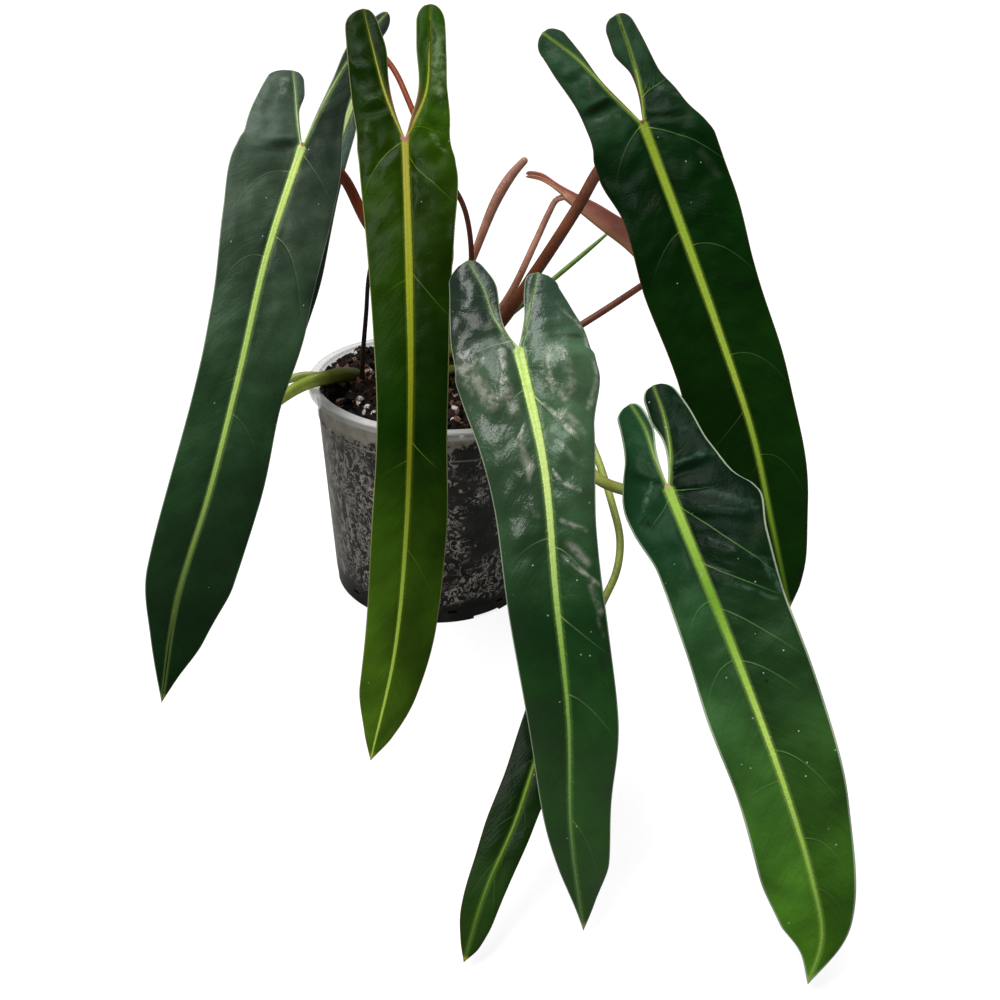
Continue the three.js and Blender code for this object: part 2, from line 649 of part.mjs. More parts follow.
function buildMix(holes) {
  const floor = FOOT_HEIGHT + WALL + GAP;
  const fit = (z) => wallRadius(z) - WALL - 1.6 * GAP;
  const top = fit(MIX_EDGE_Z - MIX_EDGE_LOW);
  const base = fit(floor);
  const bottom = [[0, floor], [base - EDGE, floor], [base, floor + 2 * EDGE]];
  const surface = [...MIX_RINGS, 0].map((share) => [top * share, MIX_EDGE_Z]);
  const bulk = turned([...bottom, ...surface], POT_SIDES);
  const position = bulk.attributes.position;
  for (let i = 0; i < position.count; i++) {
    if (position.getZ(i) > MIX_EDGE_Z - 1) position.setZ(i, mixTop(position.getX(i), position.getY(i)));
  }
  const draw = draws(MIX_SEED);
  let mix = solid(bulk);
  const scatter = (kind, make) => {
    for (let k = 0; k < kind.count; k++) {
      const radius = kind.clear + (kind.reach - kind.clear) * Math.sqrt(draw());
      const angle = 2 * Math.PI * draw();
      const [x, y] = [radius * Math.cos(angle), radius * Math.sin(angle)];
      const piece = make();
      const [tiltX, tiltY] = [(draw() - 0.5) * kind.tilt, (draw() - 0.5) * kind.tilt];
      piece.rotateX(tiltX).rotateY(tiltY).rotateZ(draw() * Math.PI);
      mix = mix.add(solid(piece.translate(x, y, mixTop(x, y) + kind.lift * draw())));
    }
  };
  scatter(CHIPS, () => new THREE.BoxGeometry(...CHIPS.size.map((size) => size * (0.6 + 0.7 * draw()))));
  scatter(PERLITE, () => new THREE.OctahedronGeometry(PERLITE.radius * (0.8 + 0.6 * draw()), 0));
  for (const hole of holes) mix = mix.subtract(hole);
  return mix;
}

// Stem, which swells at each leaf's scar, and roots that spread from its foot
function buildStem(grown = 0) {
  let stem = solid(bar(STEM, STEM_SIDES, STEM_STEP, grown));
  for (let k = 0; k < ROOTS.count; k++) {
    const path = [[0, 0], [0.35, 0.1], [0.75, 0.5], [1, 1]].map(([share, fall]) => {
      const angle = (2 * Math.PI * (k + 0.3)) / ROOTS.count + ROOTS.curl * share;
      const [x, y] = [ROOTS.reach * share * Math.cos(angle), ROOTS.reach * share * Math.sin(angle)];
      return [ROOTS.x + x, ROOTS.y + y, ROOTS.z - ROOTS.drop * fall];
    });
    stem = stem.add(solid(bar({ path, radii: ROOTS.radii }, ROOT_SIDES, ROOT_STEP, grown)));
  }
  return stem;
}

const group = new THREE.Group();

function addNode(name, geometry, colour) {
  const [color, roughness] = COLOURS[colour];
  const material = new THREE.MeshStandardMaterial({ color, roughness, metalness: 0 });
  if (colour === 'pot') Object.assign(material, { transparent: true, opacity: 0.45 });
  const mesh = new THREE.Mesh(closed(geometry), material);
  mesh.name = name;
  group.add(mesh);
}

const stalkColour = (name) => (GREEN_STALKS.includes(name) ? 'petiole_green' : 'petiole_red');
const stalkSolid = (stalk, grown = 0) => solid(bar(stalk, STALK_SIDES, STALK_STEP, grown));

const grownStem = buildStem(GAP);
const grownStalks = Object.values(STALKS).map((stalk) => stalkSolid(stalk, GAP));

addNode('pot', geometryOf(buildPot()), 'pot');
addNode('bark_mix', geometryOf(buildMix([grownStem, ...grownStalks])), 'soil');
addNode('stem', geometryOf(buildStem()), 'stem');
for (const [name, stalk] of Object.entries(STALKS)) {
  addNode(name, geometryOf(stalkSolid(stalk)), stalkColour(name));
}

// Each blade has a socket that its petiole's end sits in, and each petiole ends short of the stem
for (const [name, leaf] of Object.entries(LEAVES)) {
  const stalkName = name.replace('leaf', 'petiole');
  const stalk = PETIOLES[stalkName];
  const colour = { [BRIGHT_LEAF]: 'blade_bright', [YOUNG_LEAF]: 'blade_young' }[name] ?? 'blade';
  addNode(name, geometryOf(solid(blade(sheet(leaf))).subtract(stalkSolid(stalk, GAP))), colour);
  addNode(stalkName, geometryOf(stalkSolid(stalk).subtract(grownStem)), stalkColour(stalkName));
}
for (const [name, spear] of Object.entries(SPEARS)) {
  addNode(name, geometryOf(stalkSolid(spear).subtract(grownStem)), stalkColour(name));
}

export default group;
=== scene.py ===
"""Potted philodendron with long arrow-shaped leaves: its looks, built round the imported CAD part."""

import math

import bpy
import numpy as np
from mathutils import Matrix, Vector, noise


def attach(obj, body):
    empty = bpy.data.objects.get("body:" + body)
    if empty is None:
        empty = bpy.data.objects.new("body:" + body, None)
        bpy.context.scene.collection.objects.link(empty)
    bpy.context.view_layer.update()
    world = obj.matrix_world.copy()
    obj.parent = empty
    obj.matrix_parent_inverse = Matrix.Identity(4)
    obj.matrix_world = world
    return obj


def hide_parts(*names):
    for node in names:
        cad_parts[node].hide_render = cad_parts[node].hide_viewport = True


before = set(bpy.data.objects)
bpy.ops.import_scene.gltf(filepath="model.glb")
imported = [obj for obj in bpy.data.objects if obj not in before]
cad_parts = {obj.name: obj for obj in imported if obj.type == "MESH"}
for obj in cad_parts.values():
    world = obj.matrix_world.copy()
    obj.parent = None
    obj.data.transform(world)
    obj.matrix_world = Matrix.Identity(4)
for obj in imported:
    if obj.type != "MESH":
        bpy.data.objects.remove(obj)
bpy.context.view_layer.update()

MM = 0.001


# Pot
# Thin-walled nursery pot, blow-moulded or injected in clear grey polypropylene. A band stiffens its rim
# and a low bead runs round below it; water marks and old roots cloud the wall where the mix lies against it.
POT_HEIGHT = 149
RIM_RADIUS = 85
RIM_DEPTH = 5
WALL = 1.5
WALL_TOP_RADIUS = 80
WALL_FOOT_RADIUS = 69.5
FOOT_RADIUS = 68.7
FOOT_HEIGHT = 7
FOOT_SKIRT = 2.2
PAD_RADIUS = 14
BEAD_Z = 127
BEAD = 0.9
EDGE = 0.8
POT_SIDES = 144
POT_CREASE = 40
DRAIN = {"count": 8, "width": 9, "circle": 46, "sides": 20}
SLOT = {"count": 12, "width": 6, "height": 2, "z": 8.8}
CLEAR = 0.4
FOOT_NOTCH = {"count": 6, "width": 21, "height": 2, "depth": 12, "turn": 0.12}


def linear(code):
    """A colour written as an sRGB hex value, in linear light."""
    parts = [int(code[i:i + 2], 16) / 255 for i in (1, 3, 5)]
    return (*[c / 12.92 if c <= 0.04045 else ((c + 0.055) / 1.055) ** 2.4 for c in parts], 1)


def add(tree, kind, sockets=None, stops=(), **settings):
    """Adds a node with its settings. Each socket gets a value, a colour's code or a link from an output."""
    made = tree.nodes.new(kind)
    for name, value in settings.items():
        setattr(made, name, value)
    for key, value in (sockets or {}).items():
        if isinstance(value, bpy.types.NodeSocket):
            tree.links.new(value, made.inputs[key])
        else:
            is_colour = isinstance(value, str) and value.startswith("#")
            made.inputs[key].default_value = linear(value) if is_colour else value
    for k, (place, colour) in enumerate(stops):
        stop = made.color_ramp.elements[k] if k < 2 else made.color_ramp.elements.new(place)
        stop.position = place
        stop.color = linear(colour)
    return made


def new_material(name):
    """A material of that name and its node tree, emptied."""
    material = bpy.data.materials.new(name)
    material.use_nodes = True
    material.node_tree.nodes.clear()
    return material, material.node_tree


def finish_material(tree, **sockets):
    """Closes a material with one Principled shader. Underscores in a socket's name stand for spaces."""
    shader = add(tree, "ShaderNodeBsdfPrincipled", {k.replace("_", " "): v for k, v in sockets.items()})
    add(tree, "ShaderNodeOutputMaterial", {"Surface": shader.outputs[0]})


def wall_radius(z):
    """Outer radius of the pot's tapering wall."""
    t = (z - FOOT_HEIGHT) / (POT_HEIGHT - RIM_DEPTH - FOOT_HEIGHT)
    return WALL_FOOT_RADIUS + (WALL_TOP_RADIUS - WALL_FOOT_RADIUS) * t


def placed(name, data):
    """A new object with this data, linked to the scene at the origin."""
    made = bpy.data.objects.new(name, data)
    bpy.context.scene.collection.objects.link(made)
    return made


def new_piece(name, points, faces, materials, face_materials=None):
    """A mesh object at the origin, from points in millimetres."""
    mesh = bpy.data.meshes.new(name)
    mesh.from_pydata([tuple(p) for p in np.asarray(points) * MM], [], faces)
    for material in materials:
        mesh.materials.append(material)
    if face_materials is not None:
        mesh.polygons.foreach_set("material_index", face_materials)
    mesh.polygons.foreach_set("use_smooth", [True] * len(mesh.polygons))
    mesh.update()
    return placed(name, mesh)


def turned(profile, sides):
    """Points and faces of a profile of [radius, z] turned about +Z; a radius of 0 closes it."""
    points, rings = [], []
    for radius, z in profile:
        angles = [2 * math.pi * k / sides for k in range(sides if radius > 0 else 1)]
        rings.append([len(points) + k for k in range(len(angles))])
        points += [(radius * math.cos(t), radius * math.sin(t), z) for t in angles]
    faces = []
    for low, high in zip(rings, rings[1:]):
        for k in range(sides):
            ids = [low[k % len(low)], low[(k + 1) % len(low)], high[(k + 1) % len(high)], high[k % len(high)]]
            ids = list(dict.fromkeys(ids))
            if len(ids) > 2:
                faces.append(ids)
    return points, faces


def boxes(places):
    """Points and faces of boxes given as (angle, radius, depth, width, low, high) round the axis."""
    points, faces = [], []
    for angle, radius, depth, width, low, high in places:
        turn = Matrix.Rotation(angle, 3, "Z")
        first = len(points)
        for z in (low, high):
            for x, y in ((-1, -1), (1, -1), (1, 1), (-1, 1)):
                points.append(turn @ Vector((radius + x * depth / 2, y * width / 2, z)))
        sides = [(3, 2, 1, 0), (4, 5, 6, 7), (0, 1, 5, 4), (1, 2, 6, 5), (2, 3, 7, 6), (3, 0, 4, 7)]
        faces += [[first + k for k in side] for side in sides]
    return points, faces


def applied(made):
    """The object with its modifiers made plain mesh."""
    graph = bpy.context.evaluated_depsgraph_get()
    mesh = bpy.data.meshes.new_from_object(made.evaluated_get(graph), preserve_all_data_layers=True,
                                           depsgraph=graph)
    made.modifiers.clear()
    made.data = mesh
    return made


def rounded(profile, corner_radius=0.35, steps=3):
    """The profile with its corners rounded off."""
    out = [profile[0]]
    for before, corner, after in zip(profile, profile[1:], profile[2:]):
        before, corner, after = np.array(before, float), np.array(corner, float), np.array(after, float)
        reach = [min(corner_radius, 0.45 * np.linalg.norm(p - corner)) for p in (before, after)]
        start = corner + (before - corner) / np.linalg.norm(before - corner) * reach[0]
        end = corner + (after - corner) / np.linalg.norm(after - corner) * reach[1]
        for k in range(steps + 1):
            t = k / steps
            out.append(tuple((1 - t) ** 2 * start + 2 * t * (1 - t) * corner + t * t * end))
    return out + [profile[-1]]


def pot_plastic():
    """Clear grey polypropylene, moulded: semi-gloss and see-through at the empty top. Below it the damp mix
    shows near black behind the wall, clouded by dried water, lime and fine roots in flecks and rings. A
    painted highlight lightens the wall along its left edge."""
    material, tree = new_material("polypropylene_moulded_clear_grey")
    where = add(tree, "ShaderNodeTexCoord").outputs["Object"]
    axes = add(tree, "ShaderNodeSeparateXYZ", {0: where}).outputs
    slanted = add(tree, "ShaderNodeMapping", {"Vector": where, "Rotation": (0.0, 0.6, 0.4),
                                              "Scale": (1.0, 1.0, 0.4)}).outputs[0]
    value = {"height": axes["Z"], "side": axes["X"]}
    # Scales per metre: 38 mm patches, 18 mm groups, blots of 6 mm, streaks of 5 mm and flecks of 3 mm
    for key, vector, scale, detail, bend in (
            ("level", where, 120.0, 4.0, 0.0), ("patch", where, 26.0, 2.0, 0.0),
            ("blot", where, 170.0, 5.0, 1.2), ("fleck", where, 330.0, 3.0, 0.3),
            ("group", where, 56.0, 3.0, 0.0), ("streak", slanted, 210.0, 4.0, 0.5),
            ("dusk", where, 70.0, 4.0, 0.0), ("dry", where, 80.0, 3.0, 0.0),
            ("haze", where, 160.0, 4.0, 0.0), ("grain", where, 420.0, 3.0, 0.0)):
        value[key] = add(tree, "ShaderNodeTexNoise", {"Vector": vector, "Scale": scale, "Detail": detail,
                                                      "Roughness": 0.58, "Distortion": bend}).outputs["Fac"]
    for key, first, factor, second in (("level", "level", 0.03, "height"), ("level", "side", -0.12, "level"),
                                       ("edge", "height", 0.0766, "side")):
        value[key] = add(tree, "ShaderNodeMath", {0: value[first], 1: factor, 2: value[second]},
                         operation="MULTIPLY_ADD").outputs[0]
    for key, source, low, high, to_low, to_high in (
            ("empty", "level", 0.149, 0.1515, 0.0, 1.0), ("ring", "blot", 0.51, 0.545, 0.0, 1.0),
            ("ring_far", "blot", 0.56, 0.6, 1.0, 0.0), ("patch", "patch", 0.4, 0.56, 0.0, 1.0),
            ("fleck", "fleck", 0.57, 0.65, 0.0, 1.0), ("group", "group", 0.47, 0.6, 0.0, 1.0),
            ("streak", "streak", 0.53, 0.64, 0.0, 0.9), ("left", "side", -0.07, -0.01, 1.0, 0.0),
            # painted highlight along the wall's left edge
            ("pale_side", "edge", -0.0695, -0.05, 0.4, 0.0), ("over_foot", "height", 0.012, 0.02, 0.0, 1.0),
            ("dusk", "dusk", 0.4, 0.7, 0.0, 1.0), ("haze", "haze", 0.35, 0.7, 0.0, 1.0),
            ("rim", "height", 0.1425, 0.1445, 0.0, 1.0), ("rim_top", "height", 0.1463, 0.1478, 0.0, 1.0),
            ("bead", "height", 0.1262, 0.127, 0.0, 0.6), ("bead_over", "height", 0.1272, 0.128, 1.0, 0.0),
            ("below", "empty", 0.0, 1.0, 1.0, CLEAR), ("band", "height", 0.1425, 0.1445, 1.0, CLEAR),
            ("lip", "height", 0.1463, 0.1478, 0.0, 0.7)):
        value[key] = add(tree, "ShaderNodeMapRange", {
            "Value": value[source], "From Min": low, "From Max": high, "To Min": to_low, "To Max": to_high},
            interpolation_type="SMOOTHSTEP").outputs[0]
    for key, kind, first, second in (
            ("ring", "MULTIPLY", "ring", "ring_far"), ("ring", "MULTIPLY", "ring", "patch"),
            ("fleck", "MULTIPLY", "fleck", "group"), ("streak", "MULTIPLY", "streak", "left"),
            ("film", "MAXIMUM", "ring", "fleck"), ("film", "MAXIMUM", "film", "streak"),
            ("film", "MULTIPLY", "film", "over_foot"), ("bead", "MULTIPLY", "bead", "bead_over"),
            ("cover", "MINIMUM", "below", "band"), ("cover", "MAXIMUM", "cover", "lip"),
            ("pale_side", "MULTIPLY", "pale_side", "over_foot")):
        value[key] = add(tree, "ShaderNodeMath", {0: value[first], 1: value[second]},
                         operation=kind).outputs[0]
    tint = {"black": "#121211", "wet": "#302C28", "stain": "#958E83", "lime": "#E6E0D7", "haze": "#D6CABB",
            "clear": "#FDF4E8", "pale": "#A8A49C", "rim": "#CDCCCA", "rim_top": "#EDEDEB", "bead": "#9A948C"}
    for key, share, first, second in (
            # mixes in the pale tint of the painted edge highlight
            ("damp", "dusk", "black", "wet"), ("damp", "pale_side", "damp", "pale"),
            ("dry", "dry", "stain", "lime"), ("damp", "film", "damp", "dry"),
            ("hazy", "haze", "haze", "clear"), ("rim", "rim_top", "rim", "rim_top"),
            ("wall", "empty", "damp", "hazy"), ("wall", "rim", "wall", "rim"),
            ("wall", "bead", "wall", "bead")):
        tint[key] = add(tree, "ShaderNodeMix", {0: value[share], 6: tint[first], 7: tint[second]},
                        data_type="RGBA").outputs[2]
    rough = add(tree, "ShaderNodeMapRange",
                {"Value": value["film"], "To Min": 0.34, "To Max": 0.6}).outputs[0]
    relief = add(tree, "ShaderNodeMath", {0: value["film"], 1: 0.6, 2: value["grain"]},
                 operation="MULTIPLY_ADD").outputs[0]
    bump = add(tree, "ShaderNodeBump", {"Height": relief, "Strength": 0.3, "Distance": 0.0004}).outputs[0]
    finish_material(tree, Base_Color=tint["wall"], Roughness=rough, Alpha=value["cover"], Normal=bump,
                    IOR=1.49, Specular_IOR_Level=0.4)
    return material


inner_top = WALL_TOP_RADIUS - WALL
inner_foot = WALL_FOOT_RADIUS - WALL
floor_top = FOOT_HEIGHT + WALL
skirt = FOOT_RADIUS - FOOT_SKIRT
pot_profile = rounded([
    (0, 0), (PAD_RADIUS, 0), (PAD_RADIUS, FOOT_HEIGHT), (skirt, FOOT_HEIGHT), (skirt, 0), (FOOT_RADIUS, 0),
    (FOOT_RADIUS, FOOT_HEIGHT), (WALL_FOOT_RADIUS, FOOT_HEIGHT + EDGE),
    (wall_radius(40), 40), (wall_radius(80), 80),
    (wall_radius(BEAD_Z - BEAD), BEAD_Z - BEAD), (wall_radius(BEAD_Z) + BEAD, BEAD_Z),
    (wall_radius(BEAD_Z + BEAD), BEAD_Z + BEAD), (WALL_TOP_RADIUS, POT_HEIGHT - RIM_DEPTH),
    (RIM_RADIUS, POT_HEIGHT - RIM_DEPTH), (RIM_RADIUS, POT_HEIGHT - EDGE), (RIM_RADIUS - EDGE, POT_HEIGHT),
    (inner_top + EDGE, POT_HEIGHT), (inner_top, POT_HEIGHT - 2 * EDGE), (inner_foot, floor_top + EDGE),
    (inner_foot - EDGE, floor_top), (0, floor_top),
])
pot = new_piece("clear_pot", *turned(pot_profile, POT_SIDES), [pot_plastic()])
slot_half = SLOT["height"] / 2
cutters = boxes(
    [(2 * math.pi * (k + 0.5) / SLOT["count"], WALL_FOOT_RADIUS, 4 * WALL, SLOT["width"],
      SLOT["z"] - slot_half, SLOT["z"] + slot_half) for k in range(SLOT["count"])]
    + [(2 * math.pi * k / FOOT_NOTCH["count"] + FOOT_NOTCH["turn"], FOOT_RADIUS, FOOT_NOTCH["depth"],
        FOOT_NOTCH["width"], -1, FOOT_NOTCH["height"]) for k in range(FOOT_NOTCH["count"])])
for k in range(DRAIN["count"]):
    first = len(cutters[0])
    low, high, bore = FOOT_HEIGHT - 2 * WALL, FOOT_HEIGHT + 2 * WALL, DRAIN["width"] / 2
    drill, drill_faces = turned([(0, low), (bore, low), (bore, high), (0, high)], DRAIN["sides"])
    angle = 2 * math.pi * k / DRAIN["count"]
    shift = Vector((DRAIN["circle"] * math.cos(angle), DRAIN["circle"] * math.sin(angle), 0))
    cutters[0].extend(Vector(p) + shift for p in drill)
    cutters[1].extend([first + i for i in face] for face in drill_faces)
cutter = new_piece("pot_cutter", *cutters, [])
cut = pot.modifiers.new("holes", "BOOLEAN")
cut.object = cutter
cut.operation = "DIFFERENCE"
cut.solver = "EXACT"
applied(pot)
bpy.data.objects.remove(cutter)
for polygon in pot.data.polygons:
    polygon.use_smooth = True
pot.data.set_sharp_from_angle(angle=math.radians(POT_CREASE))
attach(pot, "root")
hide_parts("pot")


# Bark mix
# Damp potting mix of pine bark, coco chips and perlite, poured in round the roots and mounded at the stem.
# The body carries the crumbs' relief; chips and perlite of their own lie over it, all from fixed seeds.
MIX_EDGE_Z = 140
MIX_EDGE_LOW = 4
MIX_MOUND = 11
MIX_BACK_RISE = 0.075
GAP = 0.3
MIX_RINGS = 46
MIX_SIDES = 150
CRUMB = 1.5
CRUMB_LIMIT = 1.6
CRUMB_SCALE = 0.22
MIX_CLEAR = 1.6 * GAP
MIX_TONE = 0.18
MIX_PLAIN_EDGE = 3
CHIP_CREASE = 35


def mix_top(x, y):
    """Height of the mix's surface, mounded round the stem and raised to the left behind it."""
    edge = wall_radius(MIX_EDGE_Z) - WALL - GAP
    back_rise = MIX_BACK_RISE * max(0, 0.8 * y - 0.6 * x)
    return MIX_EDGE_Z + MIX_MOUND * (1 - (x * x + y * y) / (edge * edge)) + back_rise


def bark():
    """Composted pine bark, chipped and damp: near black in the hollows, red-brown and tan on fresh faces,
    rough. Each chip has its own tone, kept by the chip's own attribute."""
    material, tree = new_material("pine_bark_chipped_damp")
    where = add(tree, "ShaderNodeTexCoord").outputs["Object"]
    tone = add(tree, "ShaderNodeAttribute", attribute_name="tone").outputs["Fac"]
    fibre = add(tree, "ShaderNodeTexNoise", {"Vector": where, "Scale": 900.0, "Detail": 4.0}).outputs["Fac"]
    mixed = add(tree, "ShaderNodeMath", {0: fibre, 1: 0.35, 2: tone}, operation="MULTIPLY_ADD").outputs[0]
    colour = add(tree, "ShaderNodeValToRGB", {"Fac": mixed}, stops=[
        (0.2, "#0A0807"), (1.0, "#C8A48E"), (0.6, "#1C120E"), (0.82, "#42291E"),
        (0.92, "#866250")]).outputs[0]
    bump = add(tree, "ShaderNodeBump", {"Height": fibre, "Strength": 0.8, "Distance": 0.0007}).outputs[0]
    finish_material(tree, Base_Color=colour, Roughness=0.82, Normal=bump, IOR=1.45, Specular_IOR_Level=0.3)
    return material


def perlite():
    """Perlite, expanded volcanic glass: matt off-white grains with brown stains from the bark."""
    material, tree = new_material("perlite_expanded_stained")
    where = add(tree, "ShaderNodeTexCoord").outputs["Object"]
    stain = add(tree, "ShaderNodeTexNoise", {"Vector": where, "Scale": 500.0, "Detail": 3.0}).outputs["Fac"]
    stain = add(tree, "ShaderNodeMapRange", {"Value": stain, "From Min": 0.5, "From Max": 0.7}).outputs[0]
    colour = add(tree, "ShaderNodeMix", {0: stain, 6: "#F2F0EB", 7: "#B8A48E"},
                 data_type="RGBA").outputs[2]
    bump = add(tree, "ShaderNodeBump", {"Height": stain, "Strength": 0.5, "Distance": 0.0004}).outputs[0]
    finish_material(tree, Base_Color=colour, Roughness=0.9, Normal=bump)
    return material


def give(mesh, values):
    """Stores one value per point in the mesh under each name."""
    for key, data in values.items():
        mesh.attributes.new(key, "FLOAT", "POINT").data.foreach_set("value", data)


def new_geometry_tree(name, inputs):
    """Geometry Nodes tree with a geometry in and out and the named inputs, and what its group is given."""
    tree = bpy.data.node_groups.new(name, "GeometryNodeTree")
    for key, kind in {"Geometry": "Geometry", **inputs}.items():
        tree.interface.new_socket(key, in_out="INPUT", socket_type="NodeSocket" + kind)
    tree.interface.new_socket("Geometry", in_out="OUTPUT", socket_type="NodeSocketGeometry")
    return tree, add(tree, "NodeGroupInput").outputs


bark_material = bark()
perlite_material = perlite()
mix_floor = floor_top + GAP
mix_radius = wall_radius(MIX_EDGE_Z - MIX_EDGE_LOW) - WALL - MIX_CLEAR
mix_foot = wall_radius(mix_floor) - WALL - MIX_CLEAR
mix_profile = [(0, mix_floor), (mix_foot - EDGE, mix_floor), (mix_foot, mix_floor + 2 * EDGE)]
mix_profile += [(wall_radius(z) - WALL - MIX_CLEAR, z) for z in range(20, 131, 10)]
mix_profile += [(mix_radius * (1 - k / MIX_RINGS), MIX_EDGE_Z) for k in range(MIX_RINGS)] + [(0, MIX_EDGE_Z)]
mix_points, mix_faces = turned(mix_profile, MIX_SIDES)
mix_points = [list(p) for p in mix_points]
top_share = []
for point in mix_points:
    top = point[2] > MIX_EDGE_Z - 1
    top_share.append(1.0 if top and math.hypot(point[0], point[1]) < mix_radius - MIX_PLAIN_EDGE else 0.0)
    if top:
        point[2] = mix_top(point[0], point[1])
        rough = noise.fractal(Vector(point) * CRUMB_SCALE, 0.7, 2.1, 4)
        point[2] += CRUMB * max(-CRUMB_LIMIT, min(CRUMB_LIMIT, 1.8 * rough)) * top_share[-1]
mix = new_piece("bark_mix_chips", mix_points, mix_faces, [bark_material, perlite_material])
give(mix.data, {"top": top_share, "tone": [MIX_TONE] * len(mix_points)})


def scatter_tree():
    """Geometry Nodes tree that lays chips and perlite over the mix's top and joins them to its body."""
    tree, given = new_geometry_tree("chips_on_mix", {
        "Chip density": "Float", "Chip size": "Float", "Perlite density": "Float", "Perlite size": "Float",
        "Bark": "Material", "Perlite": "Material"})
    top = add(tree, "GeometryNodeInputNamedAttribute", {"Name": "top"},
              data_type="FLOAT").outputs["Attribute"]
    parts = []
    kinds = [("Chip density", "Chip size", "Bark", 3, (-1.3, 1.3), (0.35, 1.5), 0.45, 190.0),
             ("Perlite density", "Perlite size", "Perlite", 11, (-3.1, 3.1), (0.5, 1.3), 0.3, 420.0)]
    for density, size, stuff, seed, tilt, spread, dent, dent_scale in kinds:
        many = add(tree, "ShaderNodeMath", {0: given[density], 1: top}, operation="MULTIPLY").outputs[0]
        spots = add(tree, "GeometryNodeDistributePointsOnFaces",
                    {"Mesh": given["Geometry"], "Density": many, "Seed": seed}).outputs["Points"]
        turn = add(tree, "FunctionNodeRandomValue", {
            0: (tilt[0], tilt[0], -math.pi), 1: (tilt[1], tilt[1], math.pi), "Seed": seed + 1},
            data_type="FLOAT_VECTOR").outputs[0]
        grow = add(tree, "FunctionNodeRandomValue", {2: spread[0], 3: spread[1], "Seed": seed + 2},
                   data_type="FLOAT").outputs[1]
        grow = add(tree, "ShaderNodeMath", {0: grow, 1: given[size]}, operation="MULTIPLY").outputs[0]
        if stuff == "Bark":
            shape = add(tree, "GeometryNodeMeshCube", {"Size": (1.0, 0.62, 0.42), "Vertices X": 3,
                                                       "Vertices Y": 3, "Vertices Z": 2}).outputs["Mesh"]
        else:
            shape = add(tree, "GeometryNodeMeshIcoSphere", {"Radius": 0.5, "Subdivisions": 2}).outputs["Mesh"]
        laid = add(tree, "GeometryNodeInstanceOnPoints",
                   {"Points": spots, "Instance": shape, "Rotation": turn, "Scale": grow}).outputs[0]
        tone = add(tree, "FunctionNodeRandomValue", {2: 0.0, 3: 0.8, "Seed": seed + 3},
                   data_type="FLOAT").outputs[1]
        laid = add(tree, "GeometryNodeStoreNamedAttribute", {"Geometry": laid, "Name": "tone", "Value": tone},
                   data_type="FLOAT", domain="INSTANCE").outputs[0]
        laid = add(tree, "GeometryNodeRealizeInstances", {"Geometry": laid}).outputs[0]
        place = add(tree, "GeometryNodeInputPosition").outputs[0]
        worn = add(tree, "ShaderNodeTexNoise",
                   {"Vector": place, "Scale": dent_scale, "Detail": 2.0}).outputs["Color"]
        worn = add(tree, "ShaderNodeVectorMath", {0: worn, 1: (0.5, 0.5, 0.5)},
                   operation="SUBTRACT").outputs[0]
        worn = add(tree, "ShaderNodeVectorMath", {0: worn, "Scale": given[size]},
                   operation="SCALE").outputs[0]
        worn = add(tree, "ShaderNodeVectorMath", {0: worn, "Scale": 2 * dent}, operation="SCALE").outputs[0]
        laid = add(tree, "GeometryNodeSetPosition", {"Geometry": laid, "Offset": worn}).outputs[0]
        parts.append(add(tree, "GeometryNodeSetMaterial",
                         {"Geometry": laid, "Material": given[stuff]}).outputs[0])
    body = add(tree, "GeometryNodeSetMaterial",
               {"Geometry": given["Geometry"], "Material": given["Bark"]}).outputs[0]
    joined = add(tree, "GeometryNodeJoinGeometry", {0: parts[0]})
    tree.links.new(parts[1], joined.inputs[0])
    tree.links.new(body, joined.inputs[0])
    whole = add(tree, "GeometryNodeRealizeInstances", {"Geometry": joined.outputs[0]}).outputs[0]
    add(tree, "NodeGroupOutput", {0: whole})
    return tree


def grown_by(made, tree, **values):
    """Runs a Geometry Nodes tree on the object with its named inputs, and keeps the result as plain mesh."""
    modifier = made.modifiers.new(tree.name, "NODES")
    modifier.node_group = tree
    for item in tree.interface.items_tree:
        key = item.name.replace(" ", "_")
        if item.in_out == "INPUT" and key in values:
            modifier[item.identifier] = values[key]
    return applied(made)


grown_by(mix, scatter_tree(), Chip_density=80000.0, Chip_size=0.0052, Perlite_density=5000.0,
         Perlite_size=0.0047, Bark=bark_material, Perlite=perlite_material)
mix.data.set_sharp_from_angle(angle=math.radians(CHIP_CREASE))
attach(mix, "root")
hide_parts("bark_mix")


# Stem and stalks
# Short climbing stem that swells where leaves grew, the roots at its foot, a side shoot, an aerial root that
# reaches over the rim, and the dry stalk of a leaf that has dropped.
STEM = {
    "path": [[-4, 4, 86], [-2, 4, 120], [0, 3, 155], [0, 3, 190], [1, 4, 199]],
    "radii": [6, 8, 9, 9, 9, 10, 8.8, 9.8, 8.6, 9.4, 7.8, 4],
}
ROOTS = {"count": 5, "x": -3, "y": 4, "z": 98, "reach": 52, "drop": 62, "curl": 0.5,
         "radii": [3.2, 2.6, 2, 1.2]}
STALKS = {
    "side_shoot": {
        "path": [[-47, 14, 128], [-53, 1, 146], [-60, -13, 153], [-67, -25, 156], [-75, -31, 156],
                 [-86, -32, 151], [-97, -32, 143], [-109, -30, 131], [-117, -28, 118]],
        "radii": [4, 4.8, 5, 5, 4.4, 4, 3.6, 2.8, 1],
    },
    "aerial_root": {
        "path": [[-50, 12, 130], [-55, 4, 142], [-61, -5, 147], [-68, -14, 151], [-76, -19, 153.5],
                 [-85, -21, 154], [-96, -22, 151], [-109, -21, 145], [-117, -19, 138]],
        "radii": [2.8, 2.8, 2.8, 2.8, 2.6, 1],
    },
    "old_petiole": {
        "path": [[-50, -16, 124], [-49, -13, 143], [-48, -10, 170], [-46, -8, 196], [-45, -5, 215],
                 [-42, -2, 233]],
        "radii": [1.9, 1.6, 1.4, 1.2],
    },
}
STALK_STEP = 2.5
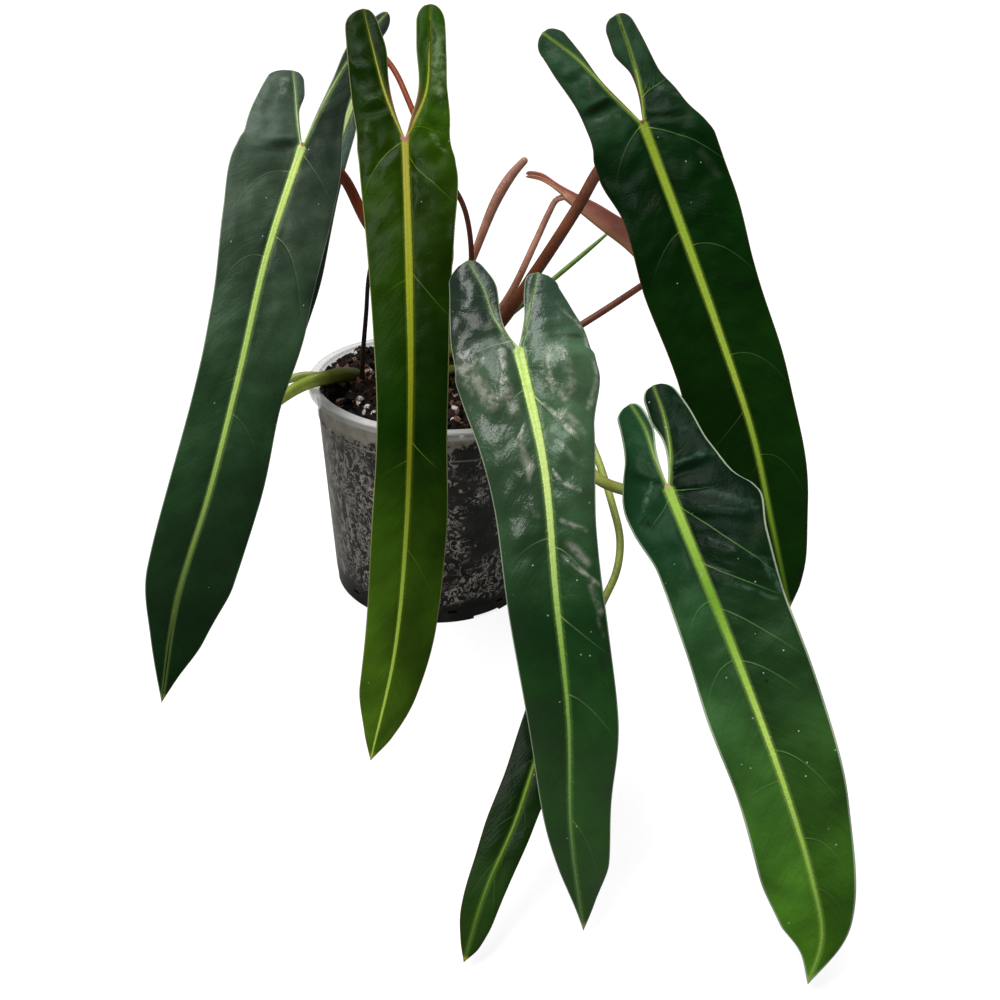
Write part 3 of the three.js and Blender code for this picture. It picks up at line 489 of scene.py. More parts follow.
STALK_LEAST_STEPS = 24
DOME_STEPS = 6
STALK_SIDES = 20


def through(stations, values, x):
    """Smooth values at x through values given at rising stations, flat beyond their ends."""
    stations, values = np.asarray(stations, float), np.asarray(values, float)
    x = np.clip(np.asarray(x, float), stations[0], stations[-1])
    slopes = np.diff(values) / np.diff(stations)
    before, after = slopes[:-1], slopes[1:]
    same = before * after > 0
    inner = np.where(same, 2 * before * after / np.where(same, before + after, 1), 0)
    tangents = np.concatenate([slopes[:1], inner, slopes[-1:]])
    i = np.clip(np.searchsorted(stations, x, side="right") - 1, 0, len(slopes) - 1)
    span = stations[i + 1] - stations[i]
    t = (x - stations[i]) / span
    return ((2 * t ** 3 - 3 * t ** 2 + 1) * values[i] + (t ** 3 - 2 * t ** 2 + t) * tangents[i] * span
            + (3 * t ** 2 - 2 * t ** 3) * values[i + 1] + (t ** 3 - t ** 2) * tangents[i + 1] * span)


class Path:
    """Centripetal curve through points, read by the distance along it."""

    def __init__(self, points, per_span=120):
        points = np.array(points, float)
        ends = [2 * points[0] - points[1], *points, 2 * points[-1] - points[-2]]
        out = [points[0]]
        for x0, x1, x2, x3 in zip(ends, ends[1:], ends[2:], ends[3:]):
            d0, d1, d2 = [math.sqrt(np.linalg.norm(b - a)) for a, b in ((x0, x1), (x1, x2), (x2, x3))]
            t1 = ((x1 - x0) / d0 - (x2 - x0) / (d0 + d1) + (x2 - x1) / d1) * d1
            t2 = ((x2 - x1) / d1 - (x3 - x1) / (d1 + d2) + (x3 - x2) / d2) * d1
            for k in range(1, per_span + 1):
                t = k / per_span
                out.append(x1 + t1 * t + (-3 * x1 + 3 * x2 - 2 * t1 - t2) * t * t
                           + (2 * x1 - 2 * x2 + t1 + t2) * t ** 3)
        self.points = np.array(out)
        steps = np.linalg.norm(np.diff(self.points, axis=0), axis=1)
        self.along = np.concatenate([[0], np.cumsum(steps)])
        self.length = self.along[-1]

    def at(self, distance):
        """Points at the given distances from the start."""
        return np.stack([np.interp(distance, self.along, self.points[:, k]) for k in range(3)], axis=-1)


def tube_tree():
    """Geometry Nodes tree that draws a round closed tube along a line of points that carry a radius."""
    tree, given = new_geometry_tree("tube_on_path", {"Sides": "Int", "Skin": "Material"})
    radius = add(tree, "GeometryNodeInputNamedAttribute", {"Name": "thick"},
                 data_type="FLOAT").outputs["Attribute"]
    line = add(tree, "GeometryNodeMeshToCurve", {"Mesh": given["Geometry"]}).outputs[0]
    line = add(tree, "GeometryNodeSetCurveRadius", {"Curve": line, "Radius": radius}).outputs[0]
    ring = add(tree, "GeometryNodeCurvePrimitiveCircle",
               {"Resolution": given["Sides"], "Radius": 1.0}).outputs[0]
    sweep = add(tree, "GeometryNodeCurveToMesh", {"Curve": line, "Profile Curve": ring, "Fill Caps": True})
    if "Scale" in sweep.inputs:
        tree.links.new(radius, sweep.inputs["Scale"])
    solid = add(tree, "GeometryNodeSetShadeSmooth",
                {"Geometry": sweep.outputs[0], "Shade Smooth": True}).outputs[0]
    solid = add(tree, "GeometryNodeRealizeInstances", {"Geometry": solid}).outputs[0]
    solid = add(tree, "GeometryNodeSetMaterial", {"Geometry": solid, "Material": given["Skin"]}).outputs[0]
    add(tree, "NodeGroupOutput", {0: solid})
    return tree


def stalk_piece(name, stalks, skin, tree, sides=STALK_SIDES):
    """Closed tubes for one or several stalks, with rounded ends."""
    points, edges, thick, along = [], [], [], []
    for stalk in stalks:
        path = Path(stalk["path"])
        count = max(STALK_LEAST_STEPS, round(path.length / STALK_STEP))
        share = np.linspace(0, 1, count + 1)
        radius = through(np.linspace(0, 1, len(stalk["radii"])), stalk["radii"], share)
        cap = radius[-1]
        body = share[1:-1] * path.length
        body = body[body < path.length - cap]
        dome = path.length - cap * (1 - np.sin(np.linspace(0, math.pi / 2, DOME_STEPS)[:-1]))
        distance = np.concatenate([[0.0], body, dome, [path.length]])
        radii = np.interp(distance, share * path.length, radius)
        fall = np.clip((distance - (path.length - cap)) / cap, 0, 1)
        radii = radii * np.sqrt(np.clip(1 - fall ** 2, 0.0004, 1))
        first = len(points)
        points += list(path.at(distance))
        edges += [(first + k, first + k + 1) for k in range(len(distance) - 1)]
        thick += list(radii * MM)
        along += list(distance / path.length)
    mesh = bpy.data.meshes.new(name)
    mesh.from_pydata([tuple(p) for p in np.array(points) * MM], edges, [])
    give(mesh, {"thick": thick, "along": along})
    return grown_by(placed(name, mesh), tree, Sides=sides, Skin=skin)


def stalk_skin(name, foot, middle, top, shade, gloss=0.4, streak=0.55, middle_at=0.45, top_at=1.0):
    """Living stalk's skin, waxy and semi-gloss: its colour runs from foot to joint, darker in short dashes
    along it that are drawn about 0.5 mm wide, and with a painted shade towards its outline, where it turns
    away."""
    material, tree = new_material(name)
    where = add(tree, "ShaderNodeTexCoord").outputs["Object"]
    along = add(tree, "ShaderNodeAttribute", attribute_name="along").outputs["Fac"]
    run = add(tree, "ShaderNodeValToRGB", {"Fac": along}, stops=[
        (0.0, foot), (top_at, top), (middle_at, middle)]).outputs[0]
    long = add(tree, "ShaderNodeMapping", {"Vector": where, "Scale": (1.0, 1.0, 0.22)}).outputs[0]
    dash = add(tree, "ShaderNodeTexNoise", {"Vector": long, "Scale": 900.0, "Detail": 3.0}).outputs["Fac"]
    broad = add(tree, "ShaderNodeTexNoise", {"Vector": where, "Scale": 55.0, "Detail": 3.0}).outputs["Fac"]
    both = add(tree, "ShaderNodeMath", {0: dash, 1: 0.6, 2: broad}, operation="MULTIPLY_ADD").outputs[0]
    dark = add(tree, "ShaderNodeMapRange",
               {"Value": both, "From Min": 0.62, "From Max": 1.0, "To Max": streak},
               interpolation_type="SMOOTHSTEP").outputs[0]
    colour = add(tree, "ShaderNodeMix", {0: dark, 6: run, 7: shade}, data_type="RGBA").outputs[2]
    # Painted shade: darker towards the outline, where the skin turns away from view
    painted_outline_shade = add(tree, "ShaderNodeLayerWeight", {"Blend": 0.5}).outputs["Facing"]
    painted_outline_shade = add(tree, "ShaderNodeMapRange", {"Value": painted_outline_shade, "From Min": 0.3, "From Max": 1.0,
                                                   "To Max": 0.75}).outputs[0]
    colour = add(tree, "ShaderNodeMix", {0: painted_outline_shade, 6: colour, 7: shade}, data_type="RGBA").outputs[2]
    rough = add(tree, "ShaderNodeMapRange",
                {"Value": broad, "To Min": gloss - 0.1, "To Max": gloss + 0.12}).outputs[0]
    bump = add(tree, "ShaderNodeBump", {"Height": dash, "Strength": 0.2, "Distance": 0.0003}).outputs[0]
    finish_material(tree, Base_Color=colour, Roughness=rough, Normal=bump, IOR=1.42, Specular_IOR_Level=0.4)
    return material


tubes = tube_tree()
stem_skin = stalk_skin("stem_bark_green_waxy", "#4A3A26", "#5E6A34", "#76813C", "#3B3A22")
shoot_skin = stalk_skin("shoot_skin_olive_waxy", "#464A14", "#707820", "#CCE45E", "#3C4012", gloss=0.3,
                        streak=0.25, middle_at=0.46, top_at=0.55)
root_skin = stalk_skin("aerial_root_skin_olive", "#8E9248", "#B4BC68", "#C8D080", "#7A7A40", gloss=0.4)
dry_skin = stalk_skin("stalk_skin_dry_brown", "#2A1A14", "#35211A", "#3E2A20", "#1C1210", gloss=0.6)
root_stalks = []
for k in range(ROOTS["count"]):
    path = []
    for share, fall in ((0, 0), (0.35, 0.1), (0.75, 0.5), (1, 1)):
        angle = 2 * math.pi * (k + 0.3) / ROOTS["count"] + ROOTS["curl"] * share
        path.append([ROOTS["x"] + ROOTS["reach"] * share * math.cos(angle),
                     ROOTS["y"] + ROOTS["reach"] * share * math.sin(angle),
                     ROOTS["z"] - ROOTS["drop"] * fall])
    root_stalks.append({"path": path, "radii": ROOTS["radii"]})
stem = stalk_piece("stem_and_roots", [STEM, *root_stalks], stem_skin, tubes, sides=28)
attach(stem, "root")
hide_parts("stem")
for name, skin, slot in (("side_shoot", shoot_skin, "stem_green"), ("aerial_root", root_skin, "stem_green"),
                         ("old_petiole", dry_skin, "petiole_red")):
    stalk = stalk_piece(name + "_tube", [STALKS[name]], skin, tubes)
    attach(stalk, "root")
    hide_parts(name)


# Petioles and rolled leaves
# Each leaf's own stalk, round and waxy, wide where it clasps the stem and ending in a small knob that shows
# through the blade's notch. Two newest leaves are still rolled up into pointed spears.
PETIOLES = {
    "petiole_a": {
        "path": [[0, 3, 180], [-12, -1, 195], [-27, -8, 227], [-45, -9, 252], [-58, -9, 277], [-71, -17, 293],
                 [-77, -39, 300]],
        "radii": [4.2, 3.6, 3.3, 3],
    },
    "petiole_b": {
        "path": [[0, 2, 170], [10, -3, 186], [18, -1, 211], [19, 1, 231], [16, -1, 254], [11, -9, 270],
                 [-2, -29, 292], [-15, -76, 314]],
        "radii": [2.4, 1.7, 1.6, 2.2],
    },
    "petiole_c": {
        "path": [[0, 2, 161], [15, -1, 170], [34, -9, 186], [59, -14, 228], [82, -17, 271], [92, -20, 293],
                 [105, -33, 314], [111, -54, 325]],
        "radii": [4.2, 3.7, 3.5, 3],
    },
    "petiole_d": {
        "path": [[0, 2, 184], [2, -14, 192], [25, -60, 208], [37, -115, 222], [44, -160, 232],
                 [47, -190, 238], [50, -203, 247]],
        "radii": [4, 3.4, 3, 2.8],
    },
    "petiole_e": {
        "path": [[0, 2, 167], [5, -13, 173], [38, -31, 187], [68, -73, 178], [87, -126, 163], [96, -146, 158],
                 [110, -175, 166], [119, -199, 178], [124, -214, 189]],
        "radii": [4.2, 3.4, 3.1, 2.8],
    },
    "petiole_f": {
        "path": [[0, 3, 184], [-1, 14, 203], [4, 27, 224], [-6, 42, 266], [-27, 64, 311], [-40, 76, 331],
                 [-50, 78, 339], [-57, 69, 335], [-58, 50, 320]],
        "radii": [3, 2.2, 1.9, 1.9],
    },
    "petiole_g": {
        "path": [[0, 2, 155], [6, -12, 160], [25, -21, 169], [53, -28, 177], [83, -75, 171], [98, -118, 157],
                 [107, -146, 141], [111, -164, 130], [109, -180, 120], [103, -192, 111], [96, -204, 102],
                 [88, -213, 98]],
        "radii": [3, 2.3, 2.1, 2],
    },
    "petiole_h": {
        "path": [[0, 3, 168], [14, 6, 175], [27, 6, 182], [43, 10, 203], [59, 19, 239], [66, 23, 256],
                 [70, 24, 264], [76, 18, 268]],
        "radii": [3.2, 2.5, 2.2, 1.8],
    },
    "petiole_i": {
        "path": [[0, 2, 157], [15, 0, 158], [53, -4, 166], [91, 3, 190], [128, 18, 213], [156, 35, 230],
                 [165, 29, 236]],
        "radii": [3, 2.4, 2.2, 2],
    },
    "spear_red": {
        "path": [[0, 3, 182], [9, 7, 198], [20, 17, 228], [32, 24, 261], [41, 27, 277], [50, 28, 288]],
        "radii": [2.4, 2.2, 2.4, 2.9, 3.3, 2.2],
    },
    "spear_green": {
        "path": [[0, 3, 155], [14, 7, 163], [42, 10, 189], [72, 24, 213], [103, 43, 237], [115, 51, 247]],
        "radii": [2.4, 1.9, 1.7, 1.6, 0.5],
    },
}
# Foot, middle and joint colours of each kind of stalk skin, and the dark colour of its dashes and its
# painted outline shade
STALK_SKINS = {
    "petiole_skin_red_brown": ("#96401A", "#B04A1A", "#9A5038", "#5A220E"),
    "petiole_skin_brown": ("#6C3618", "#7E4226", "#B07258", "#3E1E0E"),
    "petiole_skin_lime_olive": ("#6E7E30", "#9DB04C", "#B4C85E", "#7A6A34"),
    "rolled_leaf_skin_green": ("#56702C", "#6E9038", "#789A40", "#2E4A18"),
    "petiole_skin_mauve": ("#94583E", "#CC8C70", "#ECB4A0", "#7A4430"),
}
STALK_FINISH = {
    "petiole_a": "petiole_skin_red_brown", "petiole_b": "petiole_skin_brown",
    "petiole_c": "petiole_skin_brown", "petiole_d": "petiole_skin_brown",
    "petiole_e": "petiole_skin_lime_olive", "petiole_f": "petiole_skin_red_brown",
    "petiole_g": "petiole_skin_lime_olive", "petiole_h": "petiole_skin_mauve",
    "petiole_i": "petiole_skin_brown", "spear_red": "petiole_skin_mauve",
    "spear_green": "rolled_leaf_skin_green",
}
skins = {name: stalk_skin(name, *colours) for name, colours in STALK_SKINS.items()}
for name, stalk in PETIOLES.items():
    made = stalk_piece(name + "_tube", [stalk], skins[STALK_FINISH[name]], tubes)
    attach(made, "root")
    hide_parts(name)


# Leaves
# Leathery arrow-shaped blades that hang from their petioles. A thick lime midrib, its two branches into the
# lobes and the arching side veins lift and pull the skin, which bulges between them and shines unevenly, with
# painted highlights and painted shade in streaks along it.
BLADE_STATIONS = [0, 0.06, 0.15, 0.3, 0.45, 0.6, 0.75, 0.87, 0.95, 1]
LOBE_STATIONS = [0, 0.2, 0.45, 0.7, 0.88]
# A sheen is a streak between two (along, share) ends with its reach and strength: a glossy one is puckered
# and gets a painted highlight, one below 0 is a painted shade
LEAVES = {
    "leaf_a": {
        "midrib": [[-77, -39, 300], [-90, -83, 250], [-100, -119, 195], [-114, -146, 135], [-133, -163, 73],
                   [-145, -174, 8]],
        "left": [32, 34, 29, 22, 21, 22, 20, 11, 4.5, 0],
        "right": [24, 27, 29, 30, 26, 28, 28, 19, 7, 0],
        "lobes": {
            "left": {"rib": [[-81, -28, 312], [-84, -17, 325], [-87, -7, 336]],
                     "outer": [32, 30, 26, 20, 15], "inner": [0, 0.8, 1.5, 5.5, 6]},
            "right": {"rib": [[-66, -17, 324], [-52, 4, 348], [-36, 22, 367]],
                      "outer": [24, 17, 11, 9, 7], "inner": [0, 0.8, 2, 5, 4]},
        },
        "rib_half": [2.1, 1.75, 1.55, 1.3, 1.1, 0.85, 0.5, 0.2], "lobe_rib": 0.85,
        "veins": {"left": [(17, 50, 2.2, 0.88, 0.55), (69, 34, 2.6, 0.96, 0.5), (134, 15, 0.6, 0.69, 0.3)],
                  "right": [(3, 23, 1.2, 0.91, 0.6), (56, 54, 2.2, 0.89, 0.8), (157, 33, 1.8, 0.65, 0.4)]},
        "folds": {"left": [(-3, 22, 1.2, 0.6, 1.2, 3.8)]},
        "bumps": {"right": [(10, 0.19, -0.9, 2.6)]},
        "crinkle": (0.45, 20, 90),
        "sheens": {"left": [(-41, 0.76, -22, 0.95, 8.5, 0.42), (-41, 0.28, -32, 0.34, 2.7, 0.7),
                            (-10, 0.69, -5, 1, 2.7, 0.3), (4, 0.6, -1, 0.2, 3.6, -0.6)],
                   "right": [(-2, 0.36, 6, 0.74, 3.4, 0.2), (1, 0.15, 9, 0.4, 3.0, -0.5)]},
        "facing": [0.32, -0.8, 0.5], "fold": 0.22, "arch": 0.24, "wave": [1.6, 62, 0.5, 2.2],
    },
    "leaf_b": {
        "midrib": [[-15, -76, 314], [-8, -120, 261], [-3, -156, 203], [-2, -182, 139], [-6, -199, 73],
                   [-18, -210, 6]],
        "left": [25, 24, 22, 19, 17, 18, 17, 15, 7, 0],
        "right": [25, 27, 24, 20, 19, 21, 20, 16, 8.5, 0],
        "lobes": {
            "left": {"rib": [[-27, -60, 333], [-36, -43, 354], [-43, -28, 372]],
                     "outer": [25, 21, 17, 14, 12], "inner": [0, 1.5, 4, 7, 6]},
            "right": {"rib": [[-6, -59, 335], [-6, -41, 357], [-7, -25, 376]],
                      "outer": [25, 18, 10, 9, 8], "inner": [0, 3, 5, 7, 7.5]},
        },
        "rib_half": [1.7, 1.75, 1.85, 1.3, 1.1, 0.85, 0.65, 0.3], "lobe_rib": 1.05,
        "veins": {"left": [(1, 33, 1.8, 0.94, 0.9), (77, 15, 1.2, 0.71, 0.35), (170, 12, 1.2, 0.81, 0.3)],
                  "right": [(-8, -4, 0.8, 1.0, 0.4), (2, 35, 0.6, 0.91, 0.7), (71, 26, 0.8, 0.95, 0.5),
                            (159, 19, 0.8, 0.7, 0.7), (216, 33, 1.2, 0.7, 0.4)]},
        "folds": {"left": [(-18, -2, 2.6, 0.91, -1.3, 3.2), (-46, -4, 1.2, 0.9, -1.1, 3.6),
                           (-29, 3, 1.2, 0.85, -0.8, 3.2)],
                  "right": [(-12, 3, 1.5, 0.8, -1.2, 3.2), (-41, 2, 1.0, 0.9, -1.0, 3.4),
                            (-27, 2, 1.2, 0.9, 0.8, 3.0)]},
        "bumps": {"left": [(-11, 0.75, 0.9, 5), (-52, 0.5, 1.2, 6), (-38, 0.6, -0.9, 5)],
                  "right": [(-3, 0.81, -1.2, 2.4), (6, 0.7, -1.0, 2.2), (-48, 0.5, 1.0, 5),
                            (-33, 0.6, 0.9, 5)]},
        "spots": {"left": [(46, 0.5, 0.9), (53, 0.45, 0.6), (91, 0.31, 0.9), (96, 0.24, 0.6)]},
        "crinkle": (0.8, 0, 75),
        "sheens": {"left": [(-13, 0.84, -11, 0.68, 2.8, 0.9), (-29, 0.58, -26, 0.2, 2.6, 0.35),
                            (-14, 0.25, -19, 0, 4.6, -0.35), (-48, 0.15, -44, 0, 3.7, -0.3)],
                   "right": [(-7, 0.54, 1, 0.79, 1.9, 0.8), (-45, 0.4, -50, 0.69, 1.8, 0.7),
                             (-64, 0.4, -30, 0.6, 6.5, 0.9), (-8, 0.55, 4, 0.8, 5.5, 0.2),
                             (17, 0.74, 26, 0.8, 2.4, 0.25)]},
        "facing": [0.1, -0.86, 0.5], "fold": 0.2, "arch": 0.22, "wave": [1.2, 70, 1.4, 4.1],
    },
    "leaf_c": {
        "midrib": [[111, -54, 325], [135, -81, 277], [160, -99, 226], [185, -109, 172], [205, -114, 116],
                   [225, -116, 60]],
        "left": [31, 32, 28, 31, 30, 33, 30, 22, 11, 0],
        "right": [28, 34, 34, 30, 29, 27, 24, 17, 9, 0],
        "lobes": {
            "left": {"rib": [[92, -44, 339], [73, -34, 354], [54, -26, 365]],
                     "outer": [31, 25, 18, 15, 11], "inner": [0, 0.8, 1.2, 4, 7]},
            "right": {"rib": [[108, -42, 343], [101, -30, 361], [94, -20, 376]],
                      "outer": [28, 22, 12, 9, 7], "inner": [0, 1, 3, 9, 9]},
        },
        "rib_half": [1.9, 1.8, 1.85, 1.6, 1.3, 1.0, 0.5, 0.2], "lobe_rib": 0.85,
        "veins": {"left": [(0, 39, 1.8, 0.69, 0.8), (61, 29, 1.8, 0.73, 0.5), (165, 23, 1, 0.69, 0.5),
                           (196, 30, 0.8, 0.21, 0.3)],
                  "right": [(-14, -9, 0.6, 1.0, 0.8), (2, 31, 1.5, 0.96, 0.9), (70, 27, 2.2, 0.96, 0.6),
                            (133, 31, 2.6, 0.93, 0.6), (194, 42, 2.6, 0.86, 0.5)]},
        "folds": {"left": [(-19, -9, 1, 0.86, 1.5, 3), (-44, -4, 1, 0.8, 0.9, 3.6)],
                  "right": [(-6, 6, 0.6, 0.85, 0.9, 2.4)]},
        "bumps": {"left": [(-56, 0.5, 1.1, 6), (-34, 0.5, 0.8, 6)],
                  "right": [(-24, 0.5, -1.3, 4.5), (-20, 0.62, 1.0, 6)]},
        "crinkle": (0.6, 0, 110),
        "sheens": {"left": [(-66, 0.45, -34, 0.35, 6.5, 0.4), (-23, 0.8, -12, 0.25, 2.7, 0.55),
                            (-26, 0.98, -23, 0.24, 2.6, -1), (7, 0.49, 21, 0.81, 4.4, -0.3),
                            (31, 0.56, 34, 0.8, 3.1, 0.2)],
                   "right": [(-20, 0.59, -15, 0.93, 5.2, 0.45), (-37, 1, -23, 0.61, 2.1, -0.6),
                             (-2, 0.46, -1, 0.93, 1.1, -0.9), (15, 0.04, 50, 0.21, 4.4, -0.5),
                             (25, 0.68, 40, 0.81, 4.7, 0.35), (55, 0.28, 64, 0.79, 1.3, 0.3),
                             (68, 0.48, 75, 0.86, 1.6, 0.25), (89, 0.21, 102, 0.8, 3.3, -0.35)]},
        "facing": [-0.12, -0.86, 0.5], "fold": 0.24, "arch": 0.28, "wave": [1.8, 66, 2.6, 0.8],
    },
    "leaf_d": {
        "midrib": [[50, -204, 250], [64, -240, 210], [72, -270, 164], [81, -292, 113], [86, -306, 60],
                   [96, -315, 6]],
        "left": [31, 30, 27, 23, 21, 18, 13, 7.5, 2.5, 0],
        "right": [32, 33, 25, 20, 21, 22, 19, 16, 7, 0],
        "lobes": {
            "left": {"rib": [[39, -193, 259], [32, -182, 271], [24, -173, 280]],
                     "outer": [31, 27, 21, 17, 13], "inner": [0, 1, 4, 6, 5]},
            "right": {"rib": [[53, -195, 259], [55, -185, 269], [57, -178, 278]],
                      "outer": [32, 31, 26, 18, 11], "inner": [0, 1, 2, 4, 5]},
        },
        "rib_half": [2.2, 2.0, 1.6, 1.25, 0.75, 0.5, 0.3, 0.15], "lobe_rib": 0.6,
        "veins": {"left": [(-5, -5, 0.6, 0.84, 0.5), (19, 33, 1.5, 0.5, 0.6), (87, 14, 1.8, 0.74, 0.4)],
                  "right": [(1, 29, 2.6, 0.36, 0.6), (19, 39, 0.8, 0.65, 1.0), (91, 27, 1.8, 0.78, 0.6),
                            (120, 22, 1, 0.88, 0.5), (156, 24, 1.5, 0.86, 0.4), (217, 63, 1.8, 0.64, 0.3)]},
        "folds": {"left": [(-12, -9, 1, 0.6, 1.1, 4.4)], "right": [(-9, -13, 1.2, 0.8, 0.7, 3.6)]},
        "bumps": {"left": [(12, 0.5, 2.2, 10)], "right": [(12, 0.5, 2.4, 11), (42, 0.55, 1.2, 8)]},
        "crinkle": (0.9, 45, 62),
        "sheens": {"left": [(-15, 0.89, -3, 0.95, 1.1, 0.9), (-5, 0.86, 22, 0.6, 5.1, 0.9),
                            (-6, 0.76, -2, 0.56, 2.8, 0.7), (-3, 0.2, 20, 0.38, 1.8, 1),
                            (16, 0.3, 30, 0.28, 2.7, 0.9), (36, 0.18, 42, 0.33, 1.1, 1),
                            (44, 0.33, 53, 0.29, 2.9, 0.7), (55, 0.2, 62, 0.34, 1.8, 0.7),
                            (69, 0.31, 77, 0.25, 2.2, 0.5), (-10, 0.85, -11, 0.49, 1.1, 0.6),
                            (-22, 0.71, -20, 0.05, 4.1, -1), (-50, 1, -32, 0.43, 5.4, 0.2)],
                   "right": [(1, 0.38, 17, 0.31, 1.3, 1), (19, 0.31, 27, 0.5, 2.2, 1),
                             (-5, 0.55, 23, 0.6, 3.6, 0.6), (-26, 0.65, -19, 0.9, 1.7, 0.7),
                             (-20, 0.95, -4, 0.95, 1.1, 1), (9, 0.95, 23, 0.95, 1.1, 1),
                             (24, 0.94, 33, 0.89, 1.8, 0.8), (28, 0.18, 46, 0.69, 1.1, 1),
                             (34, 0.49, 43, 0.78, 2.2, 0.8), (46, 0.33, 55, 0.6, 1.7, 0.6),
                             (58, 0.16, 62, 0.26, 1.1, 1), (64, 0.29, 68, 0.68, 1.3, 0.8),
                             (80, 0.25, 85, 0.74, 1.5, 0.8), (90, 0.39, 99, 0.7, 2.7, 0.7),
                             (95, 0.2, 109, 0.91, 1.1, 1), (109, 0.74, 121, 0.88, 2.2, 0.6),
                             (124, 0.8, 132, 0.88, 1.4, 0.5), (-8, 0.38, -13, 0.9, 1.9, -0.7),
                             (140, 0.76, 147, 0.8, 1.8, -0.5), (143, 0.23, 151, 0.5, 3.2, -0.4)]},
        "facing": [-0.02, -0.84, 0.54], "fold": 0.26, "arch": 0.34, "wave": [1.6, 58, 3.3, 1.2],
    },
    "leaf_e": {
        "midrib": [[124, -214, 189], [141, -251, 161], [159, -282, 129], [177, -308, 93], [191, -324, 59],
                   [199, -332, 31], [196, -338, 7]],
        "left": [24, 23, 19, 20, 22, 21, 22, 18, 6, 0],
        "right": [34, 39, 34, 30, 29, 26, 20, 13, 4.5, 0],
        "lobes": {
            "left": {"rib": [[118, -202, 198], [113, -189, 208], [106, -179, 216]],
                     "outer": [24, 20, 14, 12, 10], "inner": [0, 0.8, 2, 4, 4]},
            "right": {"rib": [[125, -199, 201], [122, -184, 213], [117, -171, 223]],
                      "outer": [34, 26, 17, 13, 10], "inner": [0, 1, 3, 7, 7]},
        },
        "rib_half": [2.0, 1.75, 1.6, 1.3, 1.0, 0.75, 0.5, 0.2], "lobe_rib": 0.65,
        "veins": {"left": [(1, 19, 0.6, 0.68, 0.5), (57, 21, 2.6, 0.68, 0.6), (85, 20, 2.6, 0.81, 0.6),
                           (140, 8, 2.6, 0.8, 0.5), (159, 21, 1.5, 0.34, 0.4)],
                  "right": [(0, 7, 0.6, 0.49, 1.0), (6, 50, 0.8, 1.0, 0.7), (37, 29, 0.8, 0.93, 0.7),
                            (61, 35, 1.2, 0.88, 0.6), (86, 34, 1.5, 0.68, 0.7), (127, 40, 1.8, 0.78, 0.7),
                            (167, 32, 2.2, 0.66, 0.6), (191, 34, 2.2, 0.58, 0.5)]},
        "folds": {"left": [(-3, -14, 1, 0.8, 1.0, 2.6)],
                  "right": [(0, 7, 0.6, 0.5, 0.9, 1.8), (-7, -9, 0.8, 0.75, 1.2, 2.8),
                            (14, 18, 1, 0.95, 0.8, 3.4)]},
        "bumps": {"left": [(5, 0.51, 1.4, 5.5), (14, 0.71, -1.3, 2.8)]},
        "spots": {"right": [(77, 0.41, 1.1), (98, 0.29, 1.1)]},
        "crinkle": (0.8, 30, 80),
        "sheens": {"left": [(-5, 0.31, 9, 0.65, 1.8, 1), (11, 0.71, 15, 0.58, 1.3, -1),
                            (-14, 0.6, -7, 0.36, 2.9, -0.3)],
                   "right": [(-13, 0.11, -17, 0.89, 1.8, 0.8), (-28, 0.36, -30, 0.9, 2.4, 0.5),
                             (-51, 0, -43, 0.88, 3.2, 0.4), (5, 0.38, 23, 0.9, 3.3, 0.6),
                             (12, 0.26, 25, 0.76, 1.4, 0.5), (30, 0.23, 40, 0.53, 1.1, 0.7),
                             (44, 0.66, 50, 1, 1.1, 0.6), (50, 0.84, 63, 0.96, 1.8, 0.8),
                             (55, 0.4, 66, 0.85, 1.3, 0.7), (42, 0.1, 50, 0.41, 1.1, 0.6),
                             (-46, 0, -36, 0, 1.6, -0.6), (-9, 0.18, -8, 0.54, 1.9, -0.6),
                             (2, 0.14, 4, 0.46, 1.1, -1), (1, 0.64, 3, 0.95, 1.3, -0.9),
                             (20, 0.19, 36, 0.73, 2.2, -0.8), (68, 0.28, 76, 0.78, 2.5, -0.4)]},
        "facing": [-0.22, -0.76, 0.6], "fold": 0.2, "arch": 0.26, "wave": [2.4, 52, 0.2, 3.5],
    },
    "leaf_f": {
        "midrib": [[-58, 50, 320], [-67, 20, 289], [-75, -9, 256], [-82, -36, 220], [-92, -58, 183],
                   [-104, -77, 144]],
        "left": [8, 9, 11, 15, 18, 21, 21, 17, 9, 0],
        "right": [4, 5, 8, 9, 11, 12, 11, 9, 6, 0],
        "lobes": {
            "left": {"rib": [[-59, 58, 328], [-60, 65, 336], [-61, 71, 343]],
                     "outer": [8, 6, 5, 5, 4], "inner": [0, 1, 2.5, 2.5, 2.5]},
            "right": {"rib": [[-54, 59, 329], [-52, 68, 339], [-52, 75, 347]],
                      "outer": [4, 4, 5, 6, 5], "inner": [0, 1, 2, 2.5, 2.5]},
        },
        "facing": [0.15, -0.8, 0.55], "fold": 0.25, "arch": 0.25, "wave": [1, 55, 0.9, 2.8],
    },
    "leaf_g": {
        "midrib": [[88, -213, 98], [80, -241, 84], [70, -268, 68], [61, -293, 50], [49, -316, 30],
                   [41, -336, 6]],
        "left": [14, 15, 14, 13, 12, 13, 10, 8, 4, 0],
        "right": [19, 19, 19, 16, 11, 9, 9, 8, 5, 0],
        "lobes": {
            "left": {"rib": [[84, -203, 103], [80, -193, 108], [76, -184, 112]],
                     "outer": [14, 14, 13, 11, 9], "inner": [0, 1.5, 4, 4, 4]},
            "right": {"rib": [[91, -203, 103], [93, -192, 109], [94, -184, 114]],
                      "outer": [19, 13, 9, 7, 5], "inner": [0, 1, 3, 4, 4]},
        },
        "rib_half": [1.4, 1.2, 1.0, 0.8, 0.6, 0.5, 0.4, 0.15],
        "facing": [-0.06, -0.8, 0.6], "fold": 0.22, "arch": 0.24, "wave": [1, 48, 2, 0.4],
    },
    "leaf_h": {
